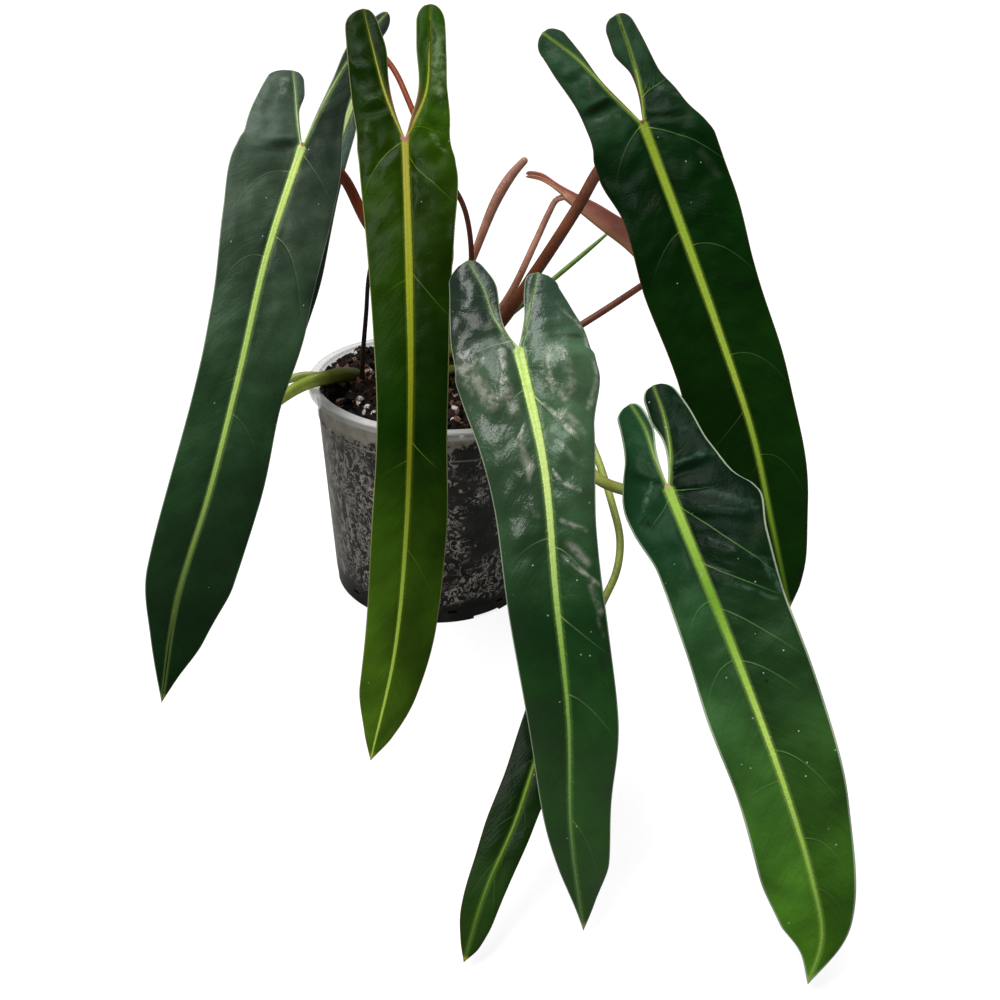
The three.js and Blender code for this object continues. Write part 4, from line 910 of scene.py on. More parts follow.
        "midrib": [[76, 18, 268], [98, 13, 253], [120, 10, 238], [142, 2, 216], [159, -8, 190],
                   [170, -22, 162]],
        "left": [4, 7, 10, 13, 14, 13, 11, 8, 4, 0],
        "right": [4, 7, 10, 13, 14, 13, 11, 8, 4, 0],
        "lobes": {
            "left": {"rib": [[69, 22, 273], [60, 27, 277], [50, 30, 278]],
                     "outer": [4, 3, 2.6, 2.4, 2.2], "inner": [0, 1, 1.6, 1.6, 1.4]},
            "right": {"rib": [[69, 20, 272.6], [60, 25, 275.8], [50, 28, 276.6]],
                      "outer": [4, 3, 2.6, 2.4, 2.2], "inner": [0, 1, 1.6, 1.6, 1.4]},
        },
        "facing": [0.5, 0.45, 0.74], "fold": 0.9, "arch": 0.2, "wave": [0.4, 50, 0, 1],
    },
    "leaf_i": {
        "midrib": [[165, 29, 236], [181, 9, 208], [196, -7, 177], [210, -20, 144], [222, -30, 109],
                   [234, -37, 73]],
        "left": [18, 19, 20, 21, 20, 18, 15, 11, 5, 0],
        "right": [15, 16, 16, 17, 17, 15, 14, 12, 6, 0],
        "lobes": {
            "left": {"rib": [[160, 36, 246], [154, 44, 256], [150, 50, 265]],
                     "outer": [18, 16, 14, 11, 9], "inner": [0, 2, 5, 6, 5]},
            "right": {"rib": [[168, 36, 247], [169, 44, 257], [169, 50, 266]],
                      "outer": [15, 12, 10, 8, 7], "inner": [0, 1.5, 3, 5, 5]},
        },
        "facing": [-0.15, -0.82, 0.55], "fold": 0.24, "arch": 0.26, "wave": [1.2, 56, 1.1, 2.9],
    },
}
# Shares of the half-width at which a row has its points, denser where the rib stands
ACROSS = {
    "outer": np.array([[0, 0.014, 0.03, 0.045, 0.06, 0.075, 0.095, 0.12, 0.15, 0.19, 0.23, 0.28, 0.33,
                        0.39, 0.45, 0.51, 0.57, 0.63, 0.69, 0.75, 0.81, 0.87, 0.92, 0.96, 0.985, 1.0]]),
    "inner": np.array([[0, 0.12, 0.3, 0.5, 0.7, 0.88, 1.0]]),
}
# A vein is its start, how far it runs forward, its bend, its reach and how clear it is. Each lobe has two
# more, in shares of its length, and a leaf without a list has its veins drawn at random in these bounds
LOBE_VEINS = [(-0.28, -0.3, 1.2, 0.7, 0.14), (-0.6, -0.2, 1.2, 0.6, 0.1)]
DRAWN_VEIN = [(-6, 6), (18, 34), (1, 2), (0.5, 0.9), (0.15, 0.45)]
# Weight, scale and roughness of the broad and the fine crinkles
CRINKLES = [(1.2, 0.05, 0.8), (0.9, 0.1, 0.9)]
THICK = 0.7
EDGE_THICK = 0.35
BLADE_TURN = 14
BLADE_TURNS = (6, 12, 18, 24)
LOBE_ROUND = 0.86
FULL_WAVE_WIDTH = 20
ROW_STEP = 1.3
RIB_STATIONS = [0, 0.1, 0.2, 0.4, 0.6, 0.8, 0.92, 1]
RIB_HALF = [1.6, 1.5, 1.3, 1.0, 0.8, 0.75, 0.6, 0.2]
RIB_RISE = 0.5
RIB_DEPTH = 2.2
RIB_TAPER = 0.85
LOBE_RIB_HALF = 0.8
LOBE_RIB_DEPTH = 1.2
KNOT = 2.0
KNOT_BACK = 1.2
KNOT_RISE = 0.5
GROOVE = 0.6
GROOVE_DEPTH = 0.25
SWEEP = 27
SWEEP_SHARE = 0.55
SWEEP_START = 16
SKIN_FROM_RIB = 3
SKIN_TO_EDGE = 4
VEIN_BULGE = 4.5
VEIN_LINE = 0.9
VEIN_LINE_DEPTH = 0.3
CREASE_PEAK = 2.33
NO_SPOT = 9.0
VEIN_FAR = 6
VEIN_STEP = 27
PLAIN_CRINKLE = 0.4
SHEEN_CRINKLE = 0.45


def lobe_width(widths, share):
    """Half-width of a lobe at a share of its rib, with a round end."""
    end = np.clip((share - LOBE_ROUND) / (1 - LOBE_ROUND), 0, 1)
    return through(LOBE_STATIONS, widths, share) * np.sqrt(1 - end * end)


def from_course(line, a, u, width):
    """Signed distance in millimetres from a line that leaves the rib at its start and sweeps forward."""
    start, forward, bend = line[:3]
    slope = forward * bend * np.maximum(u, 0.06) ** (bend - 1) / np.maximum(width, 1)
    return (a - start - forward * u ** bend) / np.sqrt(1 + slope * slope)


def vein_field(veins, a, u, width):
    """Signed distance from the nearest side vein, and how clear that vein is there."""
    best = np.full(a.shape, float(VEIN_FAR))
    power = np.zeros(a.shape)
    for vein in veins:
        away = from_course(vein, a, u, width)
        nearer = np.abs(away) < np.abs(best)
        best = np.where(nearer, away, best)
        power = np.where(nearer, vein[4] * np.clip((vein[3] + 0.1 - u) / 0.6, 0, 1), power)
    return best, power * np.clip(2 - 2 * np.abs(best) / VEIN_FAR, 0, 1)


def leaf_sheet(leaf, number):
    """Middle surface of a leaf, as points, faces that look to its upper side, and the values of each point.
    Those of LEAF_VALUES are rib, the distance past the midrib's edge; margin, the distance from the leaf's
    edge; vein, the signed distance from the nearest side vein; power, how clear that vein is; along, the
    place from the joint to the tip; across, the distance from the rib; row, the place of the point's row;
    knot, the distance from the joint; spot, the distance past the edge of the nearest blemish; sinus, 1 on
    the side of a lobe that faces the notch; sheen, how glossy and puckered it is and how strong its painted
    highlight, or how deep its painted shade; and side, the distance to the left of the midrib or of a
    lobe's middle. Four more follow: how far the skin stands out, how much it is crinkled, and how far the
    rib stands out above and below. Lengths are in millimetres."""
    joint = leaf["midrib"][0]
    midrib = Path(leaf["midrib"])
    facing = np.array(leaf["facing"]) / np.linalg.norm(leaf["facing"])
    height, wave_length, *phases = leaf["wave"]
    crinkle, crinkle_at, crinkle_reach = leaf.get("crinkle", (0.2, 30, 80))
    draw = np.random.default_rng(number + 40)
    back_of_joint = midrib.at(0.0) - midrib.at(6.0)
    knob = np.array(joint) + back_of_joint / np.linalg.norm(back_of_joint) * KNOT_BACK
    points, values, faces = [], [], []
    for side, sign, phase in (("left", 1, phases[0]), ("right", -1, phases[1])):
        spec = leaf["lobes"][side]
        lobe = Path([joint, *spec["rib"]])

        def spine(a):
            back = lobe.at(np.clip(-a, 0, lobe.length))
            return np.where((a < 0)[..., None], back, midrib.at(np.clip(a, 0, midrib.length)))

        drawn = []
        for place in np.arange(8, midrib.length * 0.85, VEIN_STEP):
            shift, *rest = [draw.uniform(low, high) for low, high in DRAWN_VEIN]
            drawn.append((place + shift, *rest))
        veins = leaf.get("veins", {}).get(side, drawn)
        veins = veins + [(start * lobe.length, forward * lobe.length, *rest)
                         for start, forward, *rest in LOBE_VEINS]
        for kind, across, low, high in (("outer", sign, -lobe.length, midrib.length),
                                        ("inner", -sign, -lobe.length, 0.0)):
            w = np.concatenate([np.linspace(low, 0, round(-low / ROW_STEP)),
                                np.linspace(0, high, max(1, round(high / ROW_STEP)))[1:]])[:, None]
            marks = {key: leaf.get(key, {}).get(side, []) if kind == "outer" else []
                     for key in ("folds", "bumps", "spots", "sheens")}
            u = ACROSS[kind]
            near = np.minimum(SWEEP, SWEEP_SHARE * np.where(w > 0, midrib.length - w, w + lobe.length))
            a = w + (near * np.tanh(w / SWEEP_START) if kind == "outer" else 0 * w) * u ** 1.2
            back = np.clip(-a, 0, None) / lobe.length

            def half_width(a):
                in_lobe = lobe_width(spec[kind], np.clip(-a, 0, None) / lobe.length)
                if kind == "inner":
                    return in_lobe
                in_blade = through(BLADE_STATIONS, leaf[side], np.clip(a, 0, None) / midrib.length)
                return np.where(a < 0, in_lobe, in_blade)

            at_joint = np.exp(-(a / BLADE_TURN) ** 4) * (kind == "outer")
            eased_width = sum(half_width(a + step) for step in np.linspace(-9, 9, 7)) / 7
            width = half_width(a) + (eased_width - half_width(a)) * at_joint
            x = u * width
            tangent = sum((spine(a + reach) - spine(a - reach)) / reach for reach in BLADE_TURNS)
            tangent /= np.linalg.norm(tangent, axis=-1, keepdims=True)
            eased = sum(spine(a + step) for step in np.linspace(-BLADE_TURN, BLADE_TURN, 9)) / 9
            middle = spine(a) + (eased - spine(a)) * (at_joint * np.clip(1.6 * u, 0, 1))[..., None]
            normal = facing - tangent * (tangent @ facing)[..., None]
            normal /= np.linalg.norm(normal, axis=-1, keepdims=True)
            ripple = height * np.sin(2 * math.pi * a / wave_length + phase) * u * u
            ripple = ripple * np.minimum(1, width / FULL_WAVE_WIDTH)
            lift = width * (leaf["fold"] * u - leaf["arch"] * u * u) + ripple
            place = middle + np.cross(tangent, normal) * (across * x)[..., None] + normal * lift[..., None]
            share = np.clip(a / midrib.length, 0, 1)
            half = np.where(a < 0, leaf.get("lobe_rib", LOBE_RIB_HALF) * (1 - back) ** 1.2,
                            through(RIB_STATIONS, leaf.get("rib_half", RIB_HALF), share))
            vein, power = vein_field(veins if kind == "outer" else [], a, u, width)
            open_skin = np.clip((x - half) / SKIN_FROM_RIB, 0, 1) * np.clip((width - x) / SKIN_TO_EDGE, 0, 1)
            strength = np.where(a < 0, 0.9, 1.0 * np.exp(-share * 3) + 0.12)
            relief = strength * (0.4 - np.exp(-(vein / VEIN_BULGE) ** 2)) * (0.25 + power) * open_skin
            relief = relief - VEIN_LINE_DEPTH * power * np.exp(-(vein / VEIN_LINE) ** 2)
            for fold in marks["folds"]:
                t = from_course(fold, a, u, width) / fold[5]
                relief = relief - CREASE_PEAK * fold[4] * t * np.exp(-t * t) * open_skin * np.clip(
                    (fold[3] + 0.15 - u) / 0.3, 0, 1)
            for bump_at, bump_share, bump, radius in marks["bumps"]:
                off = (a - bump_at) ** 2 + (x - bump_share * width) ** 2
                relief = relief + bump * np.exp(-off / radius ** 2) * np.clip(x / SKIN_FROM_RIB, 0, 1)
            blemish = 0 * x + NO_SPOT
            for spot_at, spot_share, radius in marks["spots"]:
                off = np.sqrt((a - spot_at) ** 2 + (x - spot_share * width) ** 2) - radius
                blemish = np.minimum(blemish, off)
            sheen = 0 * x
            for a0, u0, a1, u1, reach, gleam in marks["sheens"]:
                run_a, run_x = a1 - a0, (u1 - u0) * width
                t = np.clip(((a - a0) * run_a + (x - u0 * width) * run_x) / (run_a ** 2 + run_x ** 2 + 0.01),
                            0, 1)
                off = (a - a0 - t * run_a) ** 2 + (x - u0 * width - t * run_x) ** 2
                sheen = sheen + gleam * np.exp(-off / reach ** 2) * np.clip((x - half) / 1.5, 0, 1)
            sheen = np.clip(sheen, -1, 1)
            rough = (PLAIN_CRINKLE + crinkle * np.exp(-((a - crinkle_at) / crinkle_reach) ** 2)
                     + SHEEN_CRINKLE * np.clip(sheen, 0, 1)) * open_skin
            dome = np.sqrt(np.clip(1 - (x / np.maximum(half, 0.15)) ** 2, 0, 1))
            rise = np.where(a < 0, 0.4 * (1 - back), RIB_RISE * (1 - 0.75 * share)) * dome
            groove = -GROOVE_DEPTH * np.exp(-((x - half - GROOVE) / GROOVE) ** 2) * np.clip(half / 1.2, 0, 1)
            depth = np.where(a < 0, LOBE_RIB_DEPTH * (1 - 0.9 * back), RIB_DEPTH * (1 - RIB_TAPER * share))
            below = depth * np.clip(1 - x / (1.5 * np.maximum(half, 0.2)), 0, 1) ** 0.8
            knot = np.linalg.norm(place - knob, axis=-1)
            rise = rise + KNOT_RISE * np.exp(-(knot / KNOT) ** 4)
            columns = [x - half, width - x, vein, power, share - back, across * x, w, knot, blemish,
                       0 * x + (kind == "inner"), sheen, sign * (x + 2.5 * np.clip(-a / 5, 0, 1)),
                       relief + groove, rough, rise, below]
            first = len(points)
            points.extend(place.reshape(-1, 3))
            values.extend(np.stack([np.broadcast_to(v, x.shape).reshape(-1) for v in columns], axis=1))
            wide = x.shape[1]
            for i in range(x.shape[0] - 1):
                for j in range(wide - 1):
                    ids = [first + i * wide + j, first + i * wide + j + 1,
                           first + (i + 1) * wide + j + 1, first + (i + 1) * wide + j]
                    faces.append(ids if across > 0 else ids[::-1])
    points, values = np.array(points), np.array(values)
    _, keep, ids = np.unique(np.round(points, 3), axis=0, return_index=True, return_inverse=True)
    ids = ids.reshape(-1)
    merged = []
    for face in faces:
        corners = list(dict.fromkeys(int(ids[k]) for k in face))
        if len(corners) > 2:
            merged.append(corners)
    return points[keep], values[keep], merged


def surface_normals(points, faces):
    """Unit normals of the surface at its points."""
    normals = np.zeros_like(points)
    quads = np.array([face if len(face) == 4 else [*face, face[0]] for face in faces])
    p = points[quads]
    turn = np.cross(p[:, 2] - p[:, 0], p[:, 3] - p[:, 1])
    for k in range(4):
        np.add.at(normals, quads[:, k], turn)
    return normals / np.maximum(np.linalg.norm(normals, axis=1, keepdims=True), 1e-12)


LEAF_VALUES = ("rib", "margin", "vein", "power", "along", "across", "row", "knot", "spot", "sinus", "sheen",
               "side")


def leaf_piece(name, leaf, number, skins):
    """Closed blade: the skin's relief above, the same with its ribs standing out below."""
    points, values, faces = leaf_sheet(leaf, number)
    normals = surface_normals(points, faces)
    relief, rough, rise, below = values[:, len(LEAF_VALUES):].T
    crinkles = sum(weight * np.array([noise.fractal(Vector(p) * scale, roughness, 2.2, 2) for p in points])
                   for weight, scale, roughness in CRINKLES)
    relief = relief + rough * crinkles
    half = THICK / 2 * np.clip(EDGE_THICK + values[:, 1] / 1.2, EDGE_THICK, 1)
    top = points + normals * (relief + half + rise)[:, None]
    under = points + normals * (relief - half - below)[:, None]
    count = len(points)
    edges = {(p, q) for face in faces for p, q in zip(face, face[1:] + face[:1])}
    border = [(p, q) for p, q in edges if (q, p) not in edges]
    border.sort()
    all_faces = faces + [[k + count for k in face[::-1]] for face in faces]
    all_faces += [[q, p, p + count, q + count] for p, q in border]
    sides = [0] * len(faces) + [1] * len(faces) + [1] * len(border)
    made = new_piece(name, np.concatenate([top, under]), all_faces, skins, sides)
    give(made.data, {key: np.tile(data, 2) for key, data in zip(LEAF_VALUES, values.T)})
    return made


def leaf_skin(name, blade, rib, vein="#7FA05A", hem="#9AA890", hem_width=0.5, notch="#6E3A2C",
              notch_width=1.0, knob="#B07A68", knob_size=1.5, half_light_and_tone=(1, 1), lobe_half_light_and_tone=(1, 1), lobe_end=0.0,
              gloss=0.4, shine=0.4, dust=0.4, pucker=0.2, painted_glint="#8F9C88", ticks=0.15):
    """Living leaf, waxy and semi-gloss over a thick leathery blade. Blade colours run from the lobes to the
    tip, and rib colours from the joint to the tip, then the lobes' ribs. Ribs, side veins, hem and gloss
    follow the blade's own values in millimetres; specks of dust are drawn larger than real. The glossy
    streaks carry a painted highlight in the glint colour, the dull streaks a painted shade, and a painted
    shadow lies beside each side vein; the two sides of the blade are lighter and darker, partly painted
    light and shade."""
    material, tree = new_material(name)
    where = add(tree, "ShaderNodeTexCoord").outputs["Object"]
    value = {key: add(tree, "ShaderNodeAttribute", attribute_name=key).outputs["Fac"] for key in LEAF_VALUES}
    flat = add(tree, "ShaderNodeMath", {0: value["across"], 1: 0.16}, operation="MULTIPLY").outputs[0]
    rows = add(tree, "ShaderNodeCombineXYZ", {"X": value["row"], "Y": flat}).outputs[0]
    for key, vector, scale, detail, bend in (
            ("cloud", where, 34.0, 4.0, 0.0), ("stripe", rows, 0.5, 4.0, 0.0), ("tick", rows, 1.5, 1.0, 0.0),
            ("cell", where, 700.0, 2.0, 0.0), ("pucker", where, 170.0, 3.0, 0.5),
            ("speckle", where, 250.0, 3.0, 0.2)):
        value[key] = add(tree, "ShaderNodeTexNoise", {"Vector": vector, "Scale": scale, "Detail": detail,
                                                      "Distortion": bend}).outputs["Fac"]
    motes = add(tree, "ShaderNodeTexVoronoi", {"Vector": where, "Scale": 260.0}, feature="F1").outputs
    value["mote"] = motes["Distance"]
    value["chance"] = add(tree, "ShaderNodeSeparateColor", {0: motes["Color"]}).outputs[0]
    value["aside"] = add(tree, "ShaderNodeMath", {0: value["vein"]}, operation="ABSOLUTE").outputs[0]
    value["rib_edge"] = add(tree, "ShaderNodeMath", {0: value["tick"], 1: -0.5, 2: value["rib"]},
                            operation="MULTIPLY_ADD").outputs[0]
    value["place"] = add(tree, "ShaderNodeMapRange", {"Value": value["along"], "From Min": -1.0}).outputs[0]
    for key, source, low, high, to_low, to_high in (
            ("patchy", "cloud", 0.34, 0.66, 0.8, 1.22), ("striped", "stripe", 0.3, 0.7, 0.95, 1.05),
            # partly painted light and shade, partly the blade's own tone: one side of the blade and of each
            # lobe lighter, the other darker
            ("half", "side", -2.0, 2.0, half_light_and_tone[1], half_light_and_tone[0]),
            ("lobe_half", "side", -2.0, 2.0, lobe_half_light_and_tone[1], lobe_half_light_and_tone[0]),
            ("in_lobe", "along", lobe_end - 0.12, lobe_end + 0.12, 1.0, 0.0),
            ("rough", "cloud", 0.3, 0.7, gloss - 0.06, gloss + 0.08),
            # dull: painted shade where the sheen is below 0; glossy: the glossy streaks, which also get a
            # painted highlight
            ("dull", "sheen", -1.0, -0.05, 0.8, 0.0), ("glossy", "sheen", 0.15, 1.0, 0.0, 1.0),
            ("smooth", "sheen", -0.6, 1.0, 1.35, 0.62), ("speckle", "speckle", 0.36, 0.66, 0.15, 1.0),
            ("dry_tip", "along", 0.978, 0.995, 0.0, 1.0), ("beyond", "vein", -0.2, 0.3, 0.0, 1.0),
            ("shadow", "vein", 0.3, 1.6, 0.45, 0.0), ("line", "aside", 0.08, 0.38, 0.75, 0.0),
            ("far", "rib", 0.0, 5.0, 0.0, 1.0), ("halo", "rib", 0.0, 1.6, 0.22, 0.0),
            ("tick", "tick", 0.6, 0.7, 0.0, ticks), ("by_rib", "rib", 0.3, 2.2, 0.4, 0.0),
            ("on_rib", "rib_edge", -0.45, -0.05, 1.0, 0.0),
            ("notched", "margin", 0.4 * notch_width, 1.4 * notch_width, 0.85, 0.0),
            ("low_lobe", "along", -0.5, -0.15, 0.0, 1.0),
            ("hem", "margin", 0.6 * hem_width, 1.3 * hem_width, 0.85, 0.0),
            ("knob", "knot", 0.75 * knob_size, 1.15 * knob_size, 0.9, 0.0),
            ("spot", "spot", -0.4, 0.4, 0.75, 0.0), ("mote", "mote", 0.06, 0.13, 0.9, 0.0),
            ("chance", "chance", 1 - 0.1 * dust, 1.001 - 0.1 * dust, 0.0, 1.0)):
        value[key] = add(tree, "ShaderNodeMapRange", {
            "Value": value[source], "From Min": low, "From Max": high, "To Min": to_low, "To Max": to_high},
            interpolation_type="SMOOTHSTEP").outputs[0]
    for key, first, second in (
            ("shadow", "shadow", "beyond"), ("shadow", "shadow", "power"), ("line", "line", "power"),
            ("tick", "tick", "by_rib"), ("sinus", "sinus", "low_lobe"), ("notched", "notched", "sinus"),
            # painted highlight: the glossy streaks times a soft speckle
            ("mote", "mote", "chance"), ("rough", "rough", "smooth"), ("painted_glint", "glossy", "speckle")):
        value[key] = add(tree, "ShaderNodeMath", {0: value[first], 1: value[second]},
                         operation="MULTIPLY").outputs[0]
    value["painted_glint"] = add(tree, "ShaderNodeMath", {0: value["painted_glint"], 1: 0.4}, operation="MULTIPLY").outputs[0]
    colour = add(tree, "ShaderNodeValToRGB", {"Fac": value["place"]}, stops=[
        (0.2, blade[0]), (0.975, blade[3]), (0.56, blade[1]), (0.725, blade[2])]).outputs[0]
    rib_tone = add(tree, "ShaderNodeValToRGB", {"Fac": value["place"]}, stops=[
        (0.2, rib[4]), (0.96, rib[3]), (0.45, rib[4]), (0.52, rib[0]), (0.62, rib[1]),
        (0.75, rib[2])]).outputs[0]
    line_tone = add(tree, "ShaderNodeMix", {0: value["far"], 6: rib[1], 7: vein},
                    data_type="RGBA").outputs[2]
    for key, share in (("patchy", None), ("striped", None), ("half", None), ("lobe_half", "in_lobe")):
        colour = add(tree, "ShaderNodeMix", {0: value.get(share, 1.0), 6: colour, 7: value[key]},
                     data_type="RGBA", blend_type="MULTIPLY").outputs[2]
    # Painted shade in the dull streaks, painted highlight in the glossy ones, painted shadow beside the veins
    for key, tint in (("dull", "#0A1A0C"), ("painted_glint", painted_glint), ("dry_tip", "#B9A348"), ("shadow", "#0A160C"),
                      ("line", line_tone), ("halo", rib[2]), ("tick", rib[0]), ("on_rib", rib_tone),
                      ("notched", notch), ("hem", hem), ("knob", knob), ("spot", "#12200A"),
                      ("mote", "#AEB8A6")):
        colour = add(tree, "ShaderNodeMix", {0: value[key], 6: colour, 7: tint}, data_type="RGBA").outputs[2]
    skin = add(tree, "ShaderNodeMath", {0: value["stripe"], 1: 1.2, 2: value["cell"]},
               operation="MULTIPLY_ADD").outputs[0]
    puckered = add(tree, "ShaderNodeMath", {0: value["glossy"], 1: 4.5, 2: 6.0 * pucker},
                   operation="MULTIPLY_ADD").outputs[0]
    skin = add(tree, "ShaderNodeMath", {0: value["pucker"], 1: puckered, 2: skin},
               operation="MULTIPLY_ADD").outputs[0]
    bump = add(tree, "ShaderNodeBump", {"Height": skin, "Strength": 0.4, "Distance": 0.0004}).outputs[0]
    finish_material(tree, Base_Color=colour, Roughness=value["rough"], Normal=bump, IOR=1.42,
                    Specular_IOR_Level=shine)
    return material


def underside_skin(name, pale, shade, rib_colour):
    """Living leaf's underside: matt, paler and greyer, with the rib in a tone of its own."""
    material, tree = new_material(name)
    where = add(tree, "ShaderNodeTexCoord").outputs["Object"]
    rib = add(tree, "ShaderNodeAttribute", attribute_name="rib").outputs["Fac"]
    broad = add(tree, "ShaderNodeTexNoise", {"Vector": where, "Scale": 40.0, "Detail": 4.0}).outputs["Fac"]
    colour = add(tree, "ShaderNodeMix", {0: broad, 6: pale, 7: shade}, data_type="RGBA").outputs[2]
    on_rib = add(tree, "ShaderNodeMapRange", {"Value": rib, "From Min": 0.6, "From Max": 1.4, "To Min": 0.85,
                                              "To Max": 0.0}).outputs[0]
    colour = add(tree, "ShaderNodeMix", {0: on_rib, 6: colour, 7: rib_colour}, data_type="RGBA").outputs[2]
    cells = add(tree, "ShaderNodeTexNoise", {"Vector": where, "Scale": 600.0, "Detail": 2.0}).outputs["Fac"]
    bump = add(tree, "ShaderNodeBump", {"Height": cells, "Strength": 0.3, "Distance": 0.0003}).outputs[0]
    finish_material(tree, Base_Color=colour, Roughness=0.6, Normal=bump, IOR=1.42, Specular_IOR_Level=0.35)
    return material


# Each leaf's upper skin: blade colours in the lobes, by the joint, in the middle and at the tip, and rib
# colours from the joint to the tip and then in the lobes. The factors for the two sides of the blade and of
# the lobes are partly painted light and shade, and the glint colour is a painted highlight
LEAF_LOOKS = {
    "leaf_a": {"blade": ["#38463A", "#3B4C3B", "#2A4729", "#032803"],
               "rib": ["#DBF388", "#C1DF76", "#B9DD6E", "#0E1E0A", "#A9C48A"],
               "half_light_and_tone": (1.05, 0.95), "lobe_half_light_and_tone": (1.3, 0.7), "gloss": 0.38, "shine": 0.15,
               "pucker": 0.3, "vein": "#6C8A60"},
    "leaf_b": {"blade": ["#1B3703", "#243C02", "#102D02", "#4F7218"],
               "rib": ["#A39E3B", "#95A022", "#79811B", "#CCF463", "#9AA03C"],
               "half_light_and_tone": (1.1, 0.72), "lobe_half_light_and_tone": (0.6, 2.4), "gloss": 0.3, "shine": 0.06,
               "pucker": 0.15, "painted_glint": "#8EA072", "hem": "#8C8E5C", "notch": "#7A4634", "knob_size": 2.6,
               "notch_width": 2.2, "vein": "#6E9034", "dust": 0.2, "ticks": 0.0},
    "leaf_c": {"blade": ["#234128", "#042504", "#103106", "#103305"],
               "rib": ["#8BA12A", "#9FBD3F", "#C0DC50", "#5B9C13", "#8FA850"],
               "half_light_and_tone": (0.8, 1.1), "lobe_half_light_and_tone": (1.4, 0.8), "gloss": 0.38, "shine": 0.07,
               "pucker": 0.2, "hem": "#6E4A3A", "vein": "#5E8A48", "notch": "#5A2A26", "knob": "#6A2E2A",
               "dust": 0.3, "notch_width": 1.3},
    "leaf_d": {"blade": ["#2A3E2F", "#3E593D", "#083509", "#275115"],
               "rib": ["#C9E576", "#CEE589", "#8CB74A", "#699460", "#7F9B6A"],
               "half_light_and_tone": (0.88, 1.12), "lobe_half_light_and_tone": (0.75, 1.25), "gloss": 0.27, "shine": 0.4,
               "pucker": 0.35, "knob_size": 0.9, "knob": "#9A5A3C", "vein": "#7E9C70", "dust": 0.9,
               "ticks": 0.3, "painted_glint": "#D6D2C6"},
    "leaf_e": {"blade": ["#15341C", "#14301A", "#2C4D26", "#4A7D1C"],
               "rib": ["#95B949", "#6D9C2B", "#B9D965", "#81B746", "#8FB25A"],
               "half_light_and_tone": (1.35, 0.78), "lobe_half_light_and_tone": (1.1, 0.55), "lobe_end": 0.2, "gloss": 0.3,
               "shine": 0.05, "painted_glint": "#5E826C", "pucker": 0.3, "dust": 1.2, "hem": "#A9B89C",
               "hem_width": 0.9, "knob": "#C09A80", "vein": "#6E9A58", "ticks": 0.3},
    "leaf_f": {"blade": ["#33493A", "#33493A", "#2E4634", "#1E3820"],
               "rib": ["#B8CC80", "#A8BE6C", "#86A050", "#4A6434", "#A8BE6C"],
               "gloss": 0.4, "shine": 0.3, "pucker": 0.2},
    "leaf_g": {"blade": ["#335720", "#092106", "#082302", "#1F390D"],
               "rib": ["#456D21", "#317E18", "#72902D", "#4D6D24", "#5D9229"],
               "gloss": 0.4, "shine": 0.12, "pucker": 0.2, "hem": "#5E4A2E", "hem_width": 0.3},
    "leaf_h": {"blade": ["#B48050", "#94584A", "#844A38", "#703A2C"],
               "rib": ["#B48850", "#A06C4C", "#8A5238", "#7A4430", "#C09458"],
               "gloss": 0.4, "shine": 0.3, "pucker": 0.2, "hem": "#A8805A", "vein": "#7A4E3E",
               "knob": "#8A5A3A"},
    "leaf_i": {"blade": ["#1C3A22", "#1C3A22", "#1A3A1C", "#183A14"],
               "rib": ["#96AC44", "#8CA43C", "#7A9438", "#4E6A34", "#8CA43C"],
               "gloss": 0.4, "shine": 0.25, "pucker": 0.2},
}
green_underside = underside_skin("leaf_underside_matt_green", "#5F7A54", "#4B6845", "#8E9C4E")
young_underside = underside_skin("young_leaf_underside_maroon", "#E89C8C", "#C07464", "#BE8A6A")
for number, (name, leaf) in enumerate(LEAVES.items()):
    skin = leaf_skin(name + "_skin_waxy", **LEAF_LOOKS[name])
    under = young_underside if name == "leaf_h" else green_underside
    made = leaf_piece(name + "_blade", leaf, number, [skin, under])
    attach(made, "root")
    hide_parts(name)


# Studio
# Plain pale floor, one large soft light overhead, a tall panel high at the front left that gives the waxy
# skins their glints, and the camera where the photograph was taken from, looking down at the plant.
CAMERA_AT = (0.0455, -0.6565, 0.4223)
LOOK_DOWN = math.radians(28.92)
ROLL = math.radians(3.26)
SENSOR_WIDTH = 36
LENS = SENSOR_WIDTH * 1067 / 1000

ahead = Vector((0, math.cos(LOOK_DOWN), -math.sin(LOOK_DOWN)))
up = Vector((0, math.sin(LOOK_DOWN), math.cos(LOOK_DOWN)))
right = Vector((1, 0, 0))
level = math.cos(ROLL) * right + math.sin(ROLL) * up
upright = -math.sin(ROLL) * right + math.cos(ROLL) * up
lens = bpy.data.cameras.new("camera")
lens.lens = LENS
lens.sensor_width = SENSOR_WIDTH
lens.clip_start = 0.01
lens.clip_end = 100
camera = placed("camera", lens)
camera.matrix_world = Matrix.Translation(CAMERA_AT) @ Matrix((level, upright, -ahead)).transposed().to_4x4()
bpy.context.scene.camera = camera

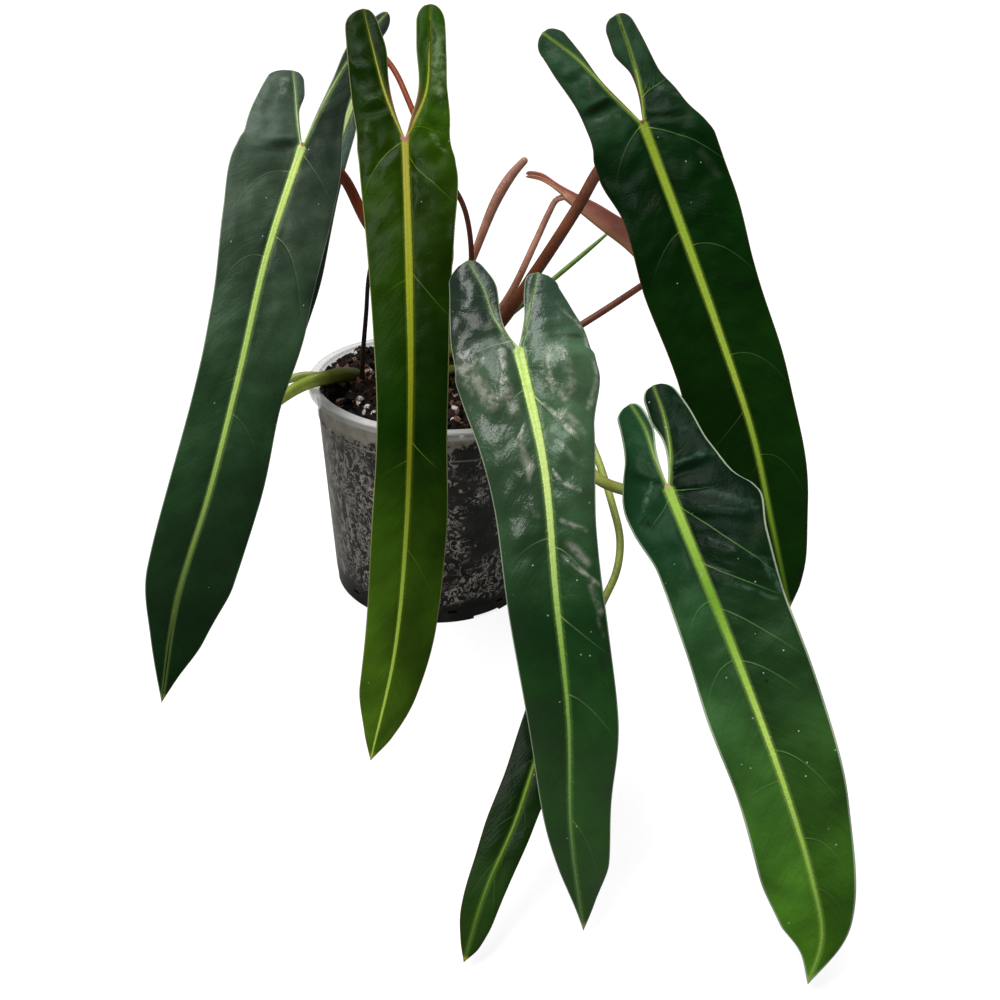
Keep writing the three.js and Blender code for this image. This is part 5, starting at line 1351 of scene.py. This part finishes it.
# White paper on the floor, lit so evenly that shadows stay faint, and greyer where it lights the leaves
FLOOR_GLOW = 0.65
floor_material, tree = new_material("paper_floor_matt_white")
where = add(tree, "ShaderNodeTexCoord").outputs["Object"]
mottle = add(tree, "ShaderNodeTexNoise", {"Vector": where, "Scale": 3.0, "Detail": 2.0}).outputs["Fac"]
floor_colour = add(tree, "ShaderNodeMix", {0: mottle, 6: "#F4F4F3", 7: "#F7F7F6"},
                   data_type="RGBA").outputs[2]
paper = add(tree, "ShaderNodeBsdfDiffuse", {"Color": floor_colour}).outputs[0]
lit = add(tree, "ShaderNodeEmission", {"Color": "#FFFFFF", "Strength": 1.3}).outputs[0]
pale = add(tree, "ShaderNodeMixShader", {0: FLOOR_GLOW, 1: paper, 2: lit}).outputs[0]
dull = add(tree, "ShaderNodeBsdfDiffuse", {"Color": "#9A9A98"}).outputs[0]
seen_floor = add(tree, "ShaderNodeLightPath").outputs["Is Camera Ray"]
add(tree, "ShaderNodeOutputMaterial", {
    "Surface": add(tree, "ShaderNodeMixShader", {0: seen_floor, 1: dull, 2: pale}).outputs[0]})
FLOOR_HALF = 12000
floor_corners = [(x * FLOOR_HALF, y * FLOOR_HALF, 0) for x, y in ((-1, -1), (1, -1), (1, 1), (-1, 1))]
floor = new_piece("floor", floor_corners, [[0, 1, 2, 3]], [floor_material])


def lamp(name, kind, strength, aim_from, aim_at, **settings):
    """A light that looks from one point to another, in metres."""
    light = bpy.data.lights.new(name, kind)
    light.energy = strength
    for key, value in settings.items():
        setattr(light, key, value)
    made = placed(name, light)
    made.location = aim_from
    made.rotation_mode = "QUATERNION"
    made.rotation_quaternion = (Vector(aim_at) - Vector(aim_from)).to_track_quat("-Z", "Y")


lamp("top_light", "SUN", 2.0, (-0.5, 0.35, 2.0), (0, 0, 0), angle=math.radians(34))
lamp("left_panel", "AREA", 14.0, (-0.45, -0.75, 1.5), (0.05, -0.25, 0.2), shape="RECTANGLE", size=0.45,
     size_y=0.9, diffuse_factor=0.8, specular_factor=2.5)
world = bpy.data.worlds.new("studio")
bpy.context.scene.world = world
world.use_nodes = True
world.node_tree.nodes.clear()
ray = add(world.node_tree, "ShaderNodeLightPath").outputs["Is Camera Ray"]
seen = add(world.node_tree, "ShaderNodeBackground", {"Color": "#FAFAFA", "Strength": 1.0}).outputs[0]
fill = add(world.node_tree, "ShaderNodeBackground", {"Color": "#FFFFFF", "Strength": 0.2}).outputs[0]
sky = add(world.node_tree, "ShaderNodeMixShader", {0: ray, 1: fill, 2: seen}).outputs[0]
add(world.node_tree, "ShaderNodeOutputWorld", {"Surface": sky})
bpy.context.scene.view_settings.view_transform = "Standard"
bpy.context.scene.view_settings.look = "None"
